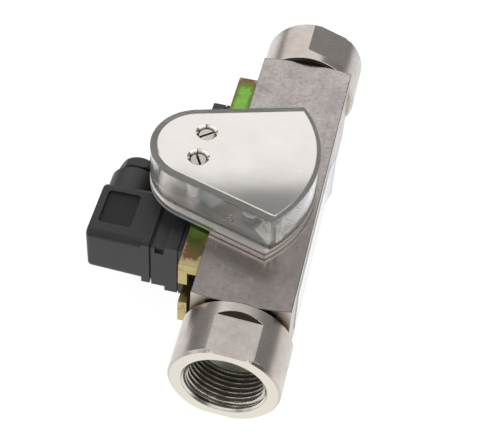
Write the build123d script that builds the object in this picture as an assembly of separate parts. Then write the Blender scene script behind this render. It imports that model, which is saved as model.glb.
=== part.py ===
from build123d import *
import math
import os

# Variable area flow meter with a magnetically moved pointer and a sliding switch.
# The flow runs along +Y, the indicator looks up along +Z, the switch is on the -X side.
# The origin is the middle of the inlet port's mouth. All sizes are in millimetres.

# Meter block, a square bar with a shallow turned cone on each end
BLOCK_SIDE = 40.0
BLOCK_LENGTH = 140.0
BLOCK_CONE_RADIUS = 20.5
BLOCK_CONE_ANGLE = 11.0
CHAMBER_DIAMETER = 30.0

# Round end fittings with two wrench flats, a female pipe thread and a male spigot
FITTING_DIAMETER = 45.0
FITTING_LENGTH = 25.0
WRENCH_SIZE = 41.0
FLAT_SETBACK = 6.3
MOUTH_RIM_CHAMFER = 1.0
PORT_CORE_DIAMETER = 30.291
PORT_SINK_DIAMETER = 34.5
PORT_DEPTH = 18.0
FITTING_BORE = 24.0
SPIGOT_DIAMETER = 33.0
SPIGOT_LENGTH = 12.0
INLET_FLAT_TILT = 4.0
OUTLET_FLAT_TILT = 20.0
SEAL_WIRE = 1.8
SEAL_RADIUS = 18.6

# Metering insert: tapered sleeve between two guides, with a rod on the axis
GUIDE_LENGTH = 8.0
GUIDE_BORE = 25.0
GUIDE_HUB = 8.0
GUIDE_ARM = 2.2
GUIDE_ARM_COUNT = 3
ROD_DIAMETER = 4.0
NUT_SIZE = 7.0
NUT_HEIGHT = 3.2
THROAT_DIAMETER = 22.8
THROAT_START = 52.0
THROAT_END = 60.0
TAPER_END = 114.0
SLEEVE_OUT_DIAMETER = 27.4
SLEEVE_MOUTH_DIAMETER = 26.0

# Float with its ring magnet, and the spring that pushes it back to the inlet
FLOAT_START = 55.2
FLOAT_TRAVEL = 36.0
FLOAT_DISC_DIAMETER = 22.0
FLOAT_DISC_LENGTH = 4.0
FLOAT_STEM_DIAMETER = 9.0
MAGNET_DIAMETER = 17.0
MAGNET_LENGTH = 12.0
CAP_LENGTH = 4.0
SPRING_WIRE = 1.3
SPRING_RADIUS = 5.9
SPRING_TURNS = 9

# Switch rails, two angle bars that leave a slot between their lips
RAIL_LENGTH = 110.0
RAIL_SETBACK = 14.5
RAIL_DEPTH = 8.4
RAIL_HEIGHT = 37.4
RAIL_FLANGE = 5.3
RAIL_LIP = 3.8
RAIL_SLOT = 12.2
RAIL_SCREW_DIAMETER = 2.5
RAIL_SCREW_HEAD = 4.5
RAIL_SCREW_LENGTH = 12.0
RAIL_SCREW_COUNT = 3
RAIL_SCREW_MARGIN = 6.0

# Indicator: sector outline about the pointer's pivot, and the stack on the block
PIVOT_X = -31.2
PIVOT_Y = 84.2
NARROW_RADIUS = 20.0
ARC_RADIUS = 49.2
SIDE_ANGLE = 17.25
CORNER_RADIUS = 1.2
BASE_THICKNESS = 1.1
BASE_SPREAD = 3.0
GASKET_THICKNESS = 0.9
GASKET_SETBACK = 0.5
FRAME_HEIGHT = 1.5
FRAME_FLOOR = 1.2
RING_HEIGHT = 17.0
RIM_SIDE = 2.6
RIM_ARC = 1.4
PLATE_LEDGE = 0.9
POCKET_CORNER = 6.0
PLATE_THICKNESS = 3.0
PLATE_PROUD = 0.6
SCALE_WIDTH = 9.1
SCALE_GAP = 1.3
SCALE_THICKNESS = 0.5
SCALE_HALF_ANGLE = 36.0
BASE_SCREW_DIAMETER = 2.5
BASE_SCREW_HEAD = 4.6
BASE_SCREW_DEPTH = 3.8
BASE_SCREW_NEAR_X = -13.0
BASE_SCREW_NEAR_Y = 19.0
BASE_SCREW_FAR_X = 7.0
BASE_SCREW_FAR_Y = 21.0

# Face screws and the pillars below them, one each side of the pivot
PILLAR_OFFSET_X = 1.3
PILLAR_SPACING = 14.2
PILLAR_DIAMETER = 7.0
FACE_SCREW_DIAMETER = 3.0
FACE_SCREW_HEAD = 6.2
FACE_SCREW_LENGTH = 8.0
FACE_SINK_DIAMETER = 9.0
SLOT_WIDTH = 1.0
SLOT_DEPTH = 0.8
PILLAR_SCREW_LENGTH = 9.0

# Pointer on its fixed axle
AXLE_DIAMETER = 2.0
AXLE_SHOULDER = 4.4
AXLE_SHOULDER_HEIGHT = 1.9
HUB_DIAMETER = 5.4
HUB_HEIGHT = 6.0
CLIP_DIAMETER = 4.0
CLIP_HEIGHT = 0.8
POINTER_SWING = 60.0
POINTER_TIP_GAP = 1.6
POINTER_TAIL = 11.0
POINTER_ROOT_WIDTH = 3.0
POINTER_TIP_WIDTH = 1.5
POINTER_THICKNESS = 0.8
FLAG_WIDTH = 2.6
FLAG_HEIGHT = 9.0
FLAG_DROP = 3.0
POINTER_MAGNET_DIAMETER = 8.0
POINTER_MAGNET_HEIGHT = 3.2
WEIGHT_DIAMETER = 5.0
WEIGHT_HEIGHT = 2.4

# Switch: carriage plate on the rails, stepped housing on the plate
SWITCH_START = 49.5
SWITCH_LENGTH = 85.7
SWITCH_HEIGHT = 28.2
CARRIAGE_THICKNESS = 2.2
NECK_MARGIN = 2.5
FOOT_START = 4.5
FOOT_LENGTH = 16.0
FOOT_HEIGHT = 25.2
FOOT_THICKNESS = 3.4
SLAB_THICKNESS = 5.9
SEAM_GROOVE = 0.5
CASE_THICKNESS = 5.7
CASE_LENGTH = 50.5
CASE_HEIGHT = 23.7
CASE_RISE = 0.4
CASE_WALL = 1.5
NOTCH_WIDTH = 3.7
NOTCH_LENGTH = 1.3
NOTCH_DEPTH = 2.9
BOARD_THICKNESS = 1.6
BOARD_END_GAP = 1.75
BOARD_SIDE_GAP = 1.35
BOARD_POST = 1.5
POST_DIAMETER = 4.0
REED_DIAMETER = 2.4
REED_LENGTH = 14.0
REED_LEAD = 0.6
REED_LEAD_LENGTH = 5.0
CLAMP_SCREW_DIAMETER = 4.0
CLAMP_SCREW_HEAD = 7.0
CLAMP_SCREW_HEAD_HEIGHT = 2.6
CLAMP_SCREW_SPACING = 14.0
CLAMP_BAR_LENGTH = 26.0
CLAMP_BAR_END = 4.0
CASE_SCREW_DIAMETER = 2.0
CASE_SCREW_HEAD = 3.8
CASE_SCREW_DEPTH = 4.0

# Plug on the switch, with its cable gland on the far side
PLUG_LENGTH = 30.4
PLUG_HEIGHT = 24.2
PLUG_RISE = 1.4
PLUG_REACH = 27.2
PLUG_TAPER_LENGTH = 28.8
PLUG_TAPER_HEIGHT = 23.4
PLUG_EDGE = 3.4
PLUG_END_EDGE = 1.8
PLUG_FLANGE_THICKNESS = 3.5
PLUG_FLANGE_HEIGHT = 25.5
PLUG_WALL = 2.6
PLUG_CAVITY_DEPTH = 17.0
PLUG_GASKET_THICKNESS = 0.8
PLUG_GASKET_SETBACK = 0.8
RECESS_WIDTH = 13.8
RECESS_LENGTH = 17.4
RECESS_DEPTH = 1.0
RECESS_CORNER = 1.4
PIN_WIDTH = 6.3
PIN_THICKNESS = 0.8
PIN_REACH = 8.0
PIN_SPACING = 11.0
EARTH_PIN_DROP = 7.0
INSERT_DEPTH = 14.5
INSERT_GAP = 0.4
PLUG_SCREW_DIAMETER = 3.0
PLUG_SCREW_HEAD = 6.0
PLUG_SCREW_HEAD_HEIGHT = 2.4
PLUG_SCREW_SINK = 3.2
GLAND_AXIS_REACH = 16.8
GLAND_NECK_DIAMETER = 21.8
GLAND_NECK_LENGTH = 10.8
GLAND_BORE = 16.0
GLAND_BORE_DEPTH = 10.6
GLAND_SHOULDER_BORE = 9.5
GLAND_SEAL_LENGTH = 4.5
GLAND_WASHER_THICKNESS = 1.0
GLAND_NUT_DIAMETER = 18.6
GLAND_NUT_SIZE = 17.0
GLAND_NUT_LENGTH = 6.1
GLAND_GROOVE_LENGTH = 2.6
CABLE_DIAMETER = 7.0

# Blank label on the +X face, its far end lifting off
LABEL_START = 43.5
LABEL_LENGTH = 77.5
LABEL_HEIGHT = 24.0
LABEL_DROP = 2.0
LABEL_THICKNESS = 0.3
LABEL_LIFT_LENGTH = 10.0
LABEL_LIFT = 1.6

# Clearances
THREAD_CLEARANCE = 0.04
PRESS_CLEARANCE = 0.02
RUNNING_CLEARANCE = 0.05
SLIDE_CLEARANCE = 0.12
HOLE_CLEARANCE = 0.2

# Places along Y and Z that follow from the sizes above
BLOCK_START = FITTING_LENGTH
BLOCK_END = BLOCK_START + BLOCK_LENGTH
RAIL_START = BLOCK_START + RAIL_SETBACK
OUTLET_MOUTH = BLOCK_END + FITTING_LENGTH
BLOCK_TOP = BLOCK_SIDE / 2
STACK_START = BLOCK_START + SPIGOT_LENGTH
STACK_END = BLOCK_END - SPIGOT_LENGTH
SLEEVE_START = STACK_START + GUIDE_LENGTH
SLEEVE_END = STACK_END - GUIDE_LENGTH
FLOAT_LENGTH = FLOAT_DISC_LENGTH + MAGNET_LENGTH + CAP_LENGTH
FLOAT_END = FLOAT_START + FLOAT_LENGTH

# Places across the switch, measured along -X from the block's side face
RAIL_FACE = -BLOCK_SIDE / 2 - RAIL_DEPTH
CARRIAGE_INNER = RAIL_FACE - SLIDE_CLEARANCE
CARRIAGE_OUTER = CARRIAGE_INNER - CARRIAGE_THICKNESS
SLAB_OUTER = CARRIAGE_OUTER - SLAB_THICKNESS
CASE_OUTER = SLAB_OUTER - CASE_THICKNESS
PLUG_BASE = CASE_OUTER - PLUG_GASKET_THICKNESS
PLUG_TIP = PLUG_BASE - PLUG_REACH
PLUG_MIDDLE = SWITCH_START + PLUG_LENGTH / 2
GLAND_X = PLUG_BASE - GLAND_AXIS_REACH
SWITCH_END = SWITCH_START + SWITCH_LENGTH

# Sizes that follow from the walls round them
SCALE_OUTER_RADIUS = ARC_RADIUS - RIM_ARC - PLATE_LEDGE - SCALE_GAP
SCALE_INNER_RADIUS = SCALE_OUTER_RADIUS - SCALE_WIDTH
POINTER_LENGTH = SCALE_OUTER_RADIUS - POINTER_TIP_GAP
BOARD_LENGTH = CASE_LENGTH - 2 * (CASE_WALL + BOARD_END_GAP)
BOARD_HEIGHT = CASE_HEIGHT - 2 * (CASE_WALL + BOARD_SIDE_GAP)

# Levels of the indicator stack, from the block's top face up
BASE_TOP = BLOCK_TOP + BASE_THICKNESS
GASKET_TOP = BASE_TOP + GASKET_THICKNESS
FLOOR_TOP = GASKET_TOP + FRAME_FLOOR
FRAME_TOP = GASKET_TOP + FRAME_HEIGHT
RING_TOP = FRAME_TOP + RING_HEIGHT
PLATE_TOP = RING_TOP + PLATE_PROUD
PLATE_BOTTOM = PLATE_TOP - PLATE_THICKNESS
FACE_SCREW_TOP = PLATE_TOP - (FACE_SINK_DIAMETER - FACE_SCREW_HEAD) / 2
HUB_BOTTOM = FLOOR_TOP + AXLE_SHOULDER_HEIGHT + RUNNING_CLEARANCE
HUB_TOP = HUB_BOTTOM + HUB_HEIGHT
POINTER_LEVEL = FLOOR_TOP + SCALE_THICKNESS + 0.4 + POINTER_MAGNET_HEIGHT
COUPLING_RADIUS = -PIVOT_X


def turned(profile, origin=(0, 0, 0), axis=(0, 1, 0)):
    """Revolve (radius, distance) points about the line through origin along axis."""
    side = Vector(0, 0, 1) if axis[0] else Vector(1, 0, 0)
    plane = Plane(origin=origin, x_dir=side, z_dir=side.cross(Vector(*axis)))
    face = plane * make_face(Polyline(*profile, close=True))
    return revolve(face, axis=Axis(origin, axis), revolution_arc=360)


def rod(radius, start, end, origin=(0, 0, 0), axis=(0, 1, 0)):
    """A plain round bar from start to end along axis."""
    return turned([(0, start), (radius, start), (radius, end), (0, end)], origin, axis)


def tube(outer, inner, start, end, origin=(0, 0, 0), axis=(0, 1, 0)):
    """A round tube from start to end along axis."""
    points = [(inner, start), (outer, start), (outer, end), (inner, end)]
    return turned(points, origin, axis)


def block(x0, x1, y0, y1, z0, z1):
    """A rectangular block between two corners."""
    size = (abs(x1 - x0), abs(y1 - y0), abs(z1 - z0))
    return Pos((x0 + x1) / 2, (y0 + y1) / 2, (z0 + z1) / 2) * Box(*size)


def hexagon(width, start, end, origin, axis):
    """A six-sided bar, width across its flats."""
    side = Vector(0, 0, 1) if axis[0] else Vector(1, 0, 0)
    start_point = Vector(*origin) + Vector(*axis) * start
    plane = Plane(origin=start_point, x_dir=side, z_dir=axis)
    outline = plane * RegularPolygon(width / 2, 6, major_radius=False)
    return extrude(outline, amount=end - start)


def sector(side_inset, arc_inset, bottom, top, corner, spread=0):
    """The indicator's outline, moved inwards by the two insets, as a flat solid.

    A spread widens it to both sides but not past its narrow end.
    """
    narrow = NARROW_RADIUS - side_inset + spread
    wide = ARC_RADIUS - arc_inset
    lean = math.radians(SIDE_ANGLE)
    side_x = spread - narrow * math.sin(lean)
    side_y = narrow * math.cos(lean)
    along = side_x * math.cos(lean) + side_y * math.sin(lean)
    run = math.sqrt(along**2 + wide**2 - side_x**2 - side_y**2) - along
    corner_x = side_x + run * math.cos(lean)
    corner_y = side_y + run * math.sin(lean)
    edges = [
        Line((side_x, side_y), (corner_x, corner_y)),
        ThreePointArc((corner_x, corner_y), (wide, 0), (corner_x, -corner_y)),
        Line((corner_x, -corner_y), (side_x, -side_y)),
        ThreePointArc((side_x, -side_y), (spread - narrow, 0), (side_x, side_y)),
    ]
    outline = Sketch() + make_face(edges)
    corners = outline.vertices().sort_by(Axis.X)[-2:]
    outline = fillet(corners, corner)
    return extrude(Pos(PIVOT_X, PIVOT_Y, bottom) * outline, amount=top - bottom)


def pillar_places():
    """The two points beside the pivot where pillars and face screws stand."""
    half = PILLAR_SPACING / 2
    return [(PIVOT_X + PILLAR_OFFSET_X, PIVOT_Y + side * half) for side in (-1, 1)]


def base_screw_places():
    """The four points over the block where the indicator is screwed down."""
    near = [(BASE_SCREW_NEAR_X, PIVOT_Y + s * BASE_SCREW_NEAR_Y) for s in (-1, 1)]
    far = [(BASE_SCREW_FAR_X, PIVOT_Y + s * BASE_SCREW_FAR_Y) for s in (-1, 1)]
    return near + far


def rail_screw_places():
    """Y and Z of the screws that hold both rails."""
    first = RAIL_START + RAIL_SCREW_MARGIN
    step = (RAIL_LENGTH - 2 * RAIL_SCREW_MARGIN) / (RAIL_SCREW_COUNT - 1)
    level = RAIL_HEIGHT / 2 - RAIL_FLANGE / 2
    rows = [first + step * i for i in range(RAIL_SCREW_COUNT)]
    return [(y, z) for z in (level, -level) for y in rows]


def meter_block():
    """Square bar, coned ends, stepped bore and the tapped holes in two faces."""
    reach = BLOCK_SIDE
    setback = (reach - BLOCK_CONE_RADIUS) * math.tan(math.radians(BLOCK_CONE_ANGLE))
    envelope = turned([
        (0, BLOCK_START),
        (BLOCK_CONE_RADIUS, BLOCK_START),
        (reach, BLOCK_START + setback),
        (reach, BLOCK_END - setback),
        (BLOCK_CONE_RADIUS, BLOCK_END),
        (0, BLOCK_END),
    ])
    half = BLOCK_SIDE / 2
    body = block(-half, half, BLOCK_START, BLOCK_END, -half, half) & envelope
    body -= rod(CHAMBER_DIAMETER / 2 + PRESS_CLEARANCE, BLOCK_START, BLOCK_END)
    thread = SPIGOT_DIAMETER / 2 + THREAD_CLEARANCE
    body -= rod(thread, BLOCK_START, STACK_START)
    body -= rod(thread, STACK_END, BLOCK_END)
    seat = RAIL_SCREW_DIAMETER / 2 + THREAD_CLEARANCE
    depth = RAIL_SCREW_LENGTH - (RAIL_DEPTH - RAIL_SCREW_LENGTH / 5) + 1
    for y, z in rail_screw_places():
        body -= rod(seat, -half, -half + depth, (0, y, z), (1, 0, 0))
    seat = BASE_SCREW_DIAMETER / 2 + THREAD_CLEARANCE
    for x, y in base_screw_places():
        body -= rod(seat, half - BASE_SCREW_DEPTH - 0.2, half, (x, y, 0), (0, 0, 1))
    return body


def end_fitting(mouth, inward, tilt):
    """A fitting whose mouth is at y = mouth and whose spigot points along inward."""
    outer = FITTING_DIAMETER / 2
    core = PORT_CORE_DIAMETER / 2
    sink = PORT_SINK_DIAMETER / 2
    bore = FITTING_BORE / 2
    spigot = SPIGOT_DIAMETER / 2
    rim = MOUTH_RIM_CHAMFER
    back = FITTING_LENGTH
    tip = back + SPIGOT_LENGTH
    drill_end = PORT_DEPTH + (core - bore) * math.tan(math.radians(30))
    body = turned([
        (sink, 0),
        (outer - rim, 0),
        (outer, rim),
        (outer, back - rim),
        (outer - rim, back),
        (spigot, back),
        (spigot, tip - rim),
        (spigot - rim, tip),
        (bore, tip),
        (bore, drill_end),
        (core, PORT_DEPTH),
        (core, sink - core),
    ])
    reach = FITTING_DIAMETER
    flat_start = -1.0
    flat_end = back - FLAT_SETBACK
    for side in (-1, 1):
        level = side * WRENCH_SIZE / 2
        body -= block(-reach, reach, flat_start, flat_end, level, level + side * reach)
    groove_outer = SEAL_RADIUS + SEAL_WIRE / 2 + 0.2
    groove_inner = SEAL_RADIUS - SEAL_WIRE / 2 - 0.2
    body -= tube(groove_outer, groove_inner, back - SEAL_WIRE, back)
    body = Rot(0, tilt, 0) * body
    if inward < 0:
        body = mirror(body, about=Plane.XZ)
    return Pos(0, mouth, 0) * body


def fitting_seals():
    """One sealing ring under each fitting's shoulder."""
    rings = []
    for y in (BLOCK_START - SEAL_WIRE / 2, BLOCK_END + SEAL_WIRE / 2):
        section = Pos(SEAL_RADIUS, y) * Circle(SEAL_WIRE / 2 - PRESS_CLEARANCE)
        rings.append(revolve(section, axis=Axis.Y, revolution_arc=360))
    return Compound(rings)


def flow_guide(face, inward, nose_end):
    """A ring with arms and a hub; its nose stops the float. inward is +1 or -1."""
    outer = CHAMBER_DIAMETER / 2
    inner = GUIDE_BORE / 2
    hub = GUIDE_HUB / 2
    inside = face + inward * GUIDE_LENGTH
    low, high = sorted((face, inside))
    body = tube(outer, inner, low, high)
    start, end = sorted((face, nose_end))
    body += rod(hub, start, end)
    for i in range(GUIDE_ARM_COUNT):
        arm = block(hub / 2, (inner + outer) / 2, low, high, -GUIDE_ARM / 2, GUIDE_ARM / 2)
        body += Rot(0, 90 + 360 / GUIDE_ARM_COUNT * i, 0) * arm
    body -= rod(ROD_DIAMETER / 2 + PRESS_CLEARANCE, start, end)
    return body


def metering_sleeve():
    """Tapered tube: the gap round the float grows as the float is lifted."""
    outer = CHAMBER_DIAMETER / 2
    mouth = SLEEVE_MOUTH_DIAMETER / 2
    throat = THROAT_DIAMETER / 2
    wide = SLEEVE_OUT_DIAMETER / 2
    return turned([
        (mouth, SLEEVE_START),
        (outer, SLEEVE_START),
        (outer, SLEEVE_END),
        (wide, SLEEVE_END),
        (wide, TAPER_END),
        (throat, THROAT_END),
        (throat, THROAT_START),
    ])


def guide_rod():
    """Rod on the axis, from nut to nut."""
    chamfer = 0.5
    radius = ROD_DIAMETER / 2
    start = STACK_START - NUT_HEIGHT - 1
    end = STACK_END + NUT_HEIGHT + 1
    return turned([
        (0, start),
        (radius - chamfer, start),
        (radius, start + chamfer),
        (radius, end - chamfer),
        (radius - chamfer, end),
        (0, end),
    ])


def rod_nuts():
    """A nut outside each guide."""
    nuts = []
    for start in (STACK_START - NUT_HEIGHT, STACK_END):
        nut = hexagon(NUT_SIZE, start, start + NUT_HEIGHT, (0, 0, 0), (0, 1, 0))
        nut -= rod(ROD_DIAMETER / 2 + THREAD_CLEARANCE, start, start + NUT_HEIGHT)
        nuts.append(nut)
    return Compound(nuts)


def float_body():
    """Sharp-edged disc with a stem that carries the magnet, bored for the rod."""
    disc = FLOAT_DISC_DIAMETER / 2
    stem = FLOAT_STEM_DIAMETER / 2
    bore = ROD_DIAMETER / 2 + RUNNING_CLEARANCE
    disc_end = FLOAT_START + FLOAT_DISC_LENGTH
    nose = GUIDE_HUB / 2 + 0.5
    return turned([
        (bore, FLOAT_START),
        (nose, FLOAT_START),
        (disc, disc_end - 1.2),
        (disc, disc_end - 0.4),
        (disc - 1.0, disc_end),
        (stem, disc_end),
        (stem, FLOAT_END - 1.5),
        (bore, FLOAT_END - 1.5),
    ])


def float_magnet():
    """Ring magnet on the float's stem."""
    start = FLOAT_START + FLOAT_DISC_LENGTH
    inner = FLOAT_STEM_DIAMETER / 2 + PRESS_CLEARANCE
    return tube(MAGNET_DIAMETER / 2, inner, start, start + MAGNET_LENGTH)


def float_cap():
    """Cap that holds the magnet and seats the spring."""
    start = FLOAT_END - CAP_LENGTH
    stem = FLOAT_STEM_DIAMETER / 2 + PRESS_CLEARANCE
    seat = SPRING_RADIUS + SPRING_WIRE / 2 + 0.3
    bore = ROD_DIAMETER / 2 + 0.4
    outer = MAGNET_DIAMETER / 2
    return turned([
        (stem, start),
        (outer, start),
        (outer, FLOAT_END - 1.5),
        (seat + 0.8, FLOAT_END),
        (seat, FLOAT_END),
        (seat, FLOAT_END - 1.0),
        (bore, FLOAT_END - 1.0),
        (bore, FLOAT_END - 1.5 + PRESS_CLEARANCE),
        (stem, FLOAT_END - 1.5 + PRESS_CLEARANCE),
    ])


def return_spring():
    """Round wire wound about the outlet guide's nose."""
    start = FLOAT_END - 1.0 + SPRING_WIRE / 2 + 0.05
    end = SLEEVE_END - SPRING_WIRE / 2 - 0.05
    pitch = (end - start) / SPRING_TURNS
    path = Helix(pitch, end - start, SPRING_RADIUS, center=(0, start, 0), direction=(0, 1, 0))
    section = Plane(origin=path @ 0, z_dir=path % 0) * Circle(SPRING_WIRE / 2)
    return sweep(section, path=path)


def switch_rail(side):
    """Angle bar: flange against the block, lip parallel to it. side is +1 or -1."""
    inner = -BLOCK_SIDE / 2
    lip = RAIL_FACE + RAIL_LIP
    top = side * RAIL_HEIGHT / 2
    under = side * (RAIL_HEIGHT / 2 - RAIL_FLANGE)
    slot = side * RAIL_SLOT / 2
    start = RAIL_START
    end = RAIL_START + RAIL_LENGTH
    flange = block(RAIL_FACE, inner, start, end, under, top)
    body = flange + block(RAIL_FACE, lip, start, end, slot, top)
    long_edges = body.edges().filter_by(Axis.Y).filter_by(lambda e: abs(e.center().X - RAIL_FACE) < 0.01)
    body = fillet(long_edges, 0.5)
    head = RAIL_SCREW_HEAD / 2 + HOLE_CLEARANCE
    shank = RAIL_SCREW_DIAMETER / 2 + HOLE_CLEARANCE
    seat = RAIL_FACE + RAIL_SCREW_HEAD * 0.6
    for y, z in rail_screw_places():
        if z * side > 0:
            body -= rod(head, RAIL_FACE - 1, seat, (0, y, z), (1, 0, 0))
            body -= rod(shank, seat, inner, (0, y, z), (1, 0, 0))
    return body


def rail_screws():
    """Socket head screws through the rails into the block."""
    head = RAIL_SCREW_HEAD / 2
    shank = RAIL_SCREW_DIAMETER / 2
    seat = RAIL_FACE + RAIL_SCREW_HEAD * 0.6
    top = seat - RAIL_SCREW_HEAD * 0.55
    screws = []
    for y, z in rail_screw_places():
        screw = rod(head, top, seat, (0, y, z), (1, 0, 0))
        screw += rod(shank, seat, seat + RAIL_SCREW_LENGTH, (0, y, z), (1, 0, 0))
        screw -= hexagon(2.0, top, top + 1.2, (0, y, z), (1, 0, 0))
        screws.append(screw)
    return Compound(screws)


def indicator_base():
    """Thin plate on the block, screwed through from above and below."""
    body = sector(0, 0, BLOCK_TOP, BASE_TOP, CORNER_RADIUS, BASE_SPREAD)
    hole = BASE_SCREW_DIAMETER / 2 + HOLE_CLEARANCE
    for x, y in base_screw_places():
        body -= rod(hole, BLOCK_TOP, BASE_TOP, (x, y, 0), (0, 0, 1))
    head = BASE_SCREW_HEAD / 2
    for x, y in pillar_places():
        body -= turned([
            (0, BLOCK_TOP),
            (head + HOLE_CLEARANCE, BLOCK_TOP),
            (hole, BLOCK_TOP + head - BASE_SCREW_DIAMETER / 2),
            (hole, BASE_TOP),
            (0, BASE_TOP),
        ], (x, y, 0), (0, 0, 1))
    return body


def base_gasket():
    """Soft sheet between base and frame, a little smaller all round."""
    body = sector(GASKET_SETBACK, GASKET_SETBACK, BASE_TOP, GASKET_TOP, CORNER_RADIUS, BASE_SPREAD)
    hole = BASE_SCREW_DIAMETER / 2 + HOLE_CLEARANCE
    for x, y in base_screw_places() + pillar_places():
        body -= rod(hole, BASE_TOP, GASKET_TOP, (x, y, 0), (0, 0, 1))
    return body


def indicator_frame():
    """Shallow tray that carries the clear ring, the pillars and the axle."""
    body = sector(0, 0, GASKET_TOP, FRAME_TOP, CORNER_RADIUS, BASE_SPREAD)
    pocket = RIM_SIDE + PLATE_LEDGE
    body -= sector(pocket, RIM_ARC + PLATE_LEDGE, FLOOR_TOP, FRAME_TOP, POCKET_CORNER)
    hole = BASE_SCREW_DIAMETER / 2 + HOLE_CLEARANCE
    head = BASE_SCREW_HEAD / 2 + HOLE_CLEARANCE
    for x, y in base_screw_places():
        body -= turned([
            (0, GASKET_TOP),
            (hole, GASKET_TOP),
            (hole, FLOOR_TOP - head + hole),
            (head, FLOOR_TOP),
            (0, FLOOR_TOP),
        ], (x, y, 0), (0, 0, 1))
    for x, y in pillar_places():
        body -= rod(hole, GASKET_TOP, FLOOR_TOP, (x, y, 0), (0, 0, 1))
    axle = AXLE_DIAMETER / 2 + PRESS_CLEARANCE
    body -= rod(axle, GASKET_TOP, FLOOR_TOP, (PIVOT_X, PIVOT_Y, 0), (0, 0, 1))
    return body


def scale_plate():
    """Flat arc below the pointer's tip; the marks are printed on it."""
    ring = tube(SCALE_OUTER_RADIUS, SCALE_INNER_RADIUS, FLOOR_TOP, FLOOR_TOP + SCALE_THICKNESS,
                (0, 0, 0), (0, 0, 1))
    reach = 2 * SCALE_OUTER_RADIUS
    lean = math.radians(SCALE_HALF_ANGLE)
    tip = (reach * math.cos(lean), reach * math.sin(lean))
    wedge = make_face(Polyline((0, 0), tip, (tip[0], -tip[1]), close=True))
    wedge = extrude(Pos(0, 0, FLOOR_TOP) * wedge, amount=SCALE_THICKNESS)
    return Pos(PIVOT_X, PIVOT_Y, 0) * (ring & wedge)


def clear_ring():
    """Clear wall round the pointer, with a ledge that the face plate rests on."""
    body = sector(0, 0, FRAME_TOP, RING_TOP, CORNER_RADIUS)
    pocket = RIM_SIDE + PLATE_LEDGE
    body -= sector(pocket, RIM_ARC + PLATE_LEDGE, FRAME_TOP, RING_TOP, POCKET_CORNER)
    body -= sector(RIM_SIDE, RIM_ARC, PLATE_BOTTOM, RING_TOP, CORNER_RADIUS)
    return body


def face_plate():
    """Plate on the ring's ledge, with two countersunk screw holes."""
    gap = RUNNING_CLEARANCE
    body = sector(RIM_SIDE + gap, RIM_ARC + gap, PLATE_BOTTOM, PLATE_TOP, CORNER_RADIUS)
    top_edges = body.faces().sort_by(Axis.Z)[-1].edges()
    body = chamfer(top_edges, 0.3)
    hole = FACE_SCREW_DIAMETER / 2 + HOLE_CLEARANCE
    rim = FACE_SINK_DIAMETER / 2
    for x, y in pillar_places():
        body -= turned([
            (0, PLATE_BOTTOM),
            (hole, PLATE_BOTTOM),
            (hole, PLATE_TOP - rim + hole),
            (rim, PLATE_TOP),
            (0, PLATE_TOP),
        ], (x, y, 0), (0, 0, 1))
    return body


def face_screws():
    """Countersunk slotted screws sunk in the face, each turned to its own slot angle."""
    head = FACE_SCREW_HEAD / 2
    shank = FACE_SCREW_DIAMETER / 2
    top = FACE_SCREW_TOP
    screws = []
    for (x, y), angle in zip(pillar_places(), (-62, 40)):
        screw = turned([
            (0, top - FACE_SCREW_LENGTH),
            (shank, top - FACE_SCREW_LENGTH),
            (shank, top - head + shank),
            (head, top),
            (0, top),
        ], (x, y, 0), (0, 0, 1))
        slot = Box(FACE_SCREW_HEAD + 1, SLOT_WIDTH, 2 * SLOT_DEPTH)
        screws.append(screw - Pos(x, y, top) * Rot(0, 0, angle) * slot)
    return Compound(screws)


def spacer_pillars():
    """Two posts between floor and face plate, tapped at both ends."""
    low = BASE_SCREW_DIAMETER / 2 + THREAD_CLEARANCE
    high = FACE_SCREW_DIAMETER / 2 + THREAD_CLEARANCE
    outer = PILLAR_DIAMETER / 2
    screw_end = BLOCK_TOP + PILLAR_SCREW_LENGTH
    face_end = FACE_SCREW_TOP - FACE_SCREW_LENGTH
    posts = []
    for x, y in pillar_places():
        post = rod(outer, FLOOR_TOP, PLATE_BOTTOM, (x, y, 0), (0, 0, 1))
        post -= rod(low, FLOOR_TOP, screw_end + 0.3, (x, y, 0), (0, 0, 1))
        post -= rod(high, face_end - 0.3, PLATE_BOTTOM, (x, y, 0), (0, 0, 1))
        posts.append(post)
    return Compound(posts)


def pillar_screws():
    """Countersunk screws from below into the pillars."""
    head = BASE_SCREW_HEAD / 2
    shank = BASE_SCREW_DIAMETER / 2
    screws = []
    for x, y in pillar_places():
        screw = turned([
            (0, BLOCK_TOP),
            (head, BLOCK_TOP),
            (shank, BLOCK_TOP + head - shank),
            (shank, BLOCK_TOP + PILLAR_SCREW_LENGTH),
            (0, BLOCK_TOP + PILLAR_SCREW_LENGTH),
        ], (x, y, 0), (0, 0, 1))
        cross = Box(0.8, 3.2, 1.6) + Box(3.2, 0.8, 1.6)
        screws.append(screw - Pos(x, y, BLOCK_TOP) * cross)
    return Compound(screws)


def base_screws():
    """Countersunk screws through frame, gasket and base into the block."""
    head = BASE_SCREW_HEAD / 2
    shank = BASE_SCREW_DIAMETER / 2
    screws = []
    for x, y in base_screw_places():
        screw = turned([
            (0, BLOCK_TOP - BASE_SCREW_DEPTH),
            (shank, BLOCK_TOP - BASE_SCREW_DEPTH),
            (shank, FLOOR_TOP - head + shank),
            (head, FLOOR_TOP),
            (0, FLOOR_TOP),
        ], (x, y, 0), (0, 0, 1))
        cross = Box(0.8, 3.2, 1.6) + Box(3.2, 0.8, 1.6)
        screws.append(screw - Pos(x, y, FLOOR_TOP) * cross)
    return Compound(screws)


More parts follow.
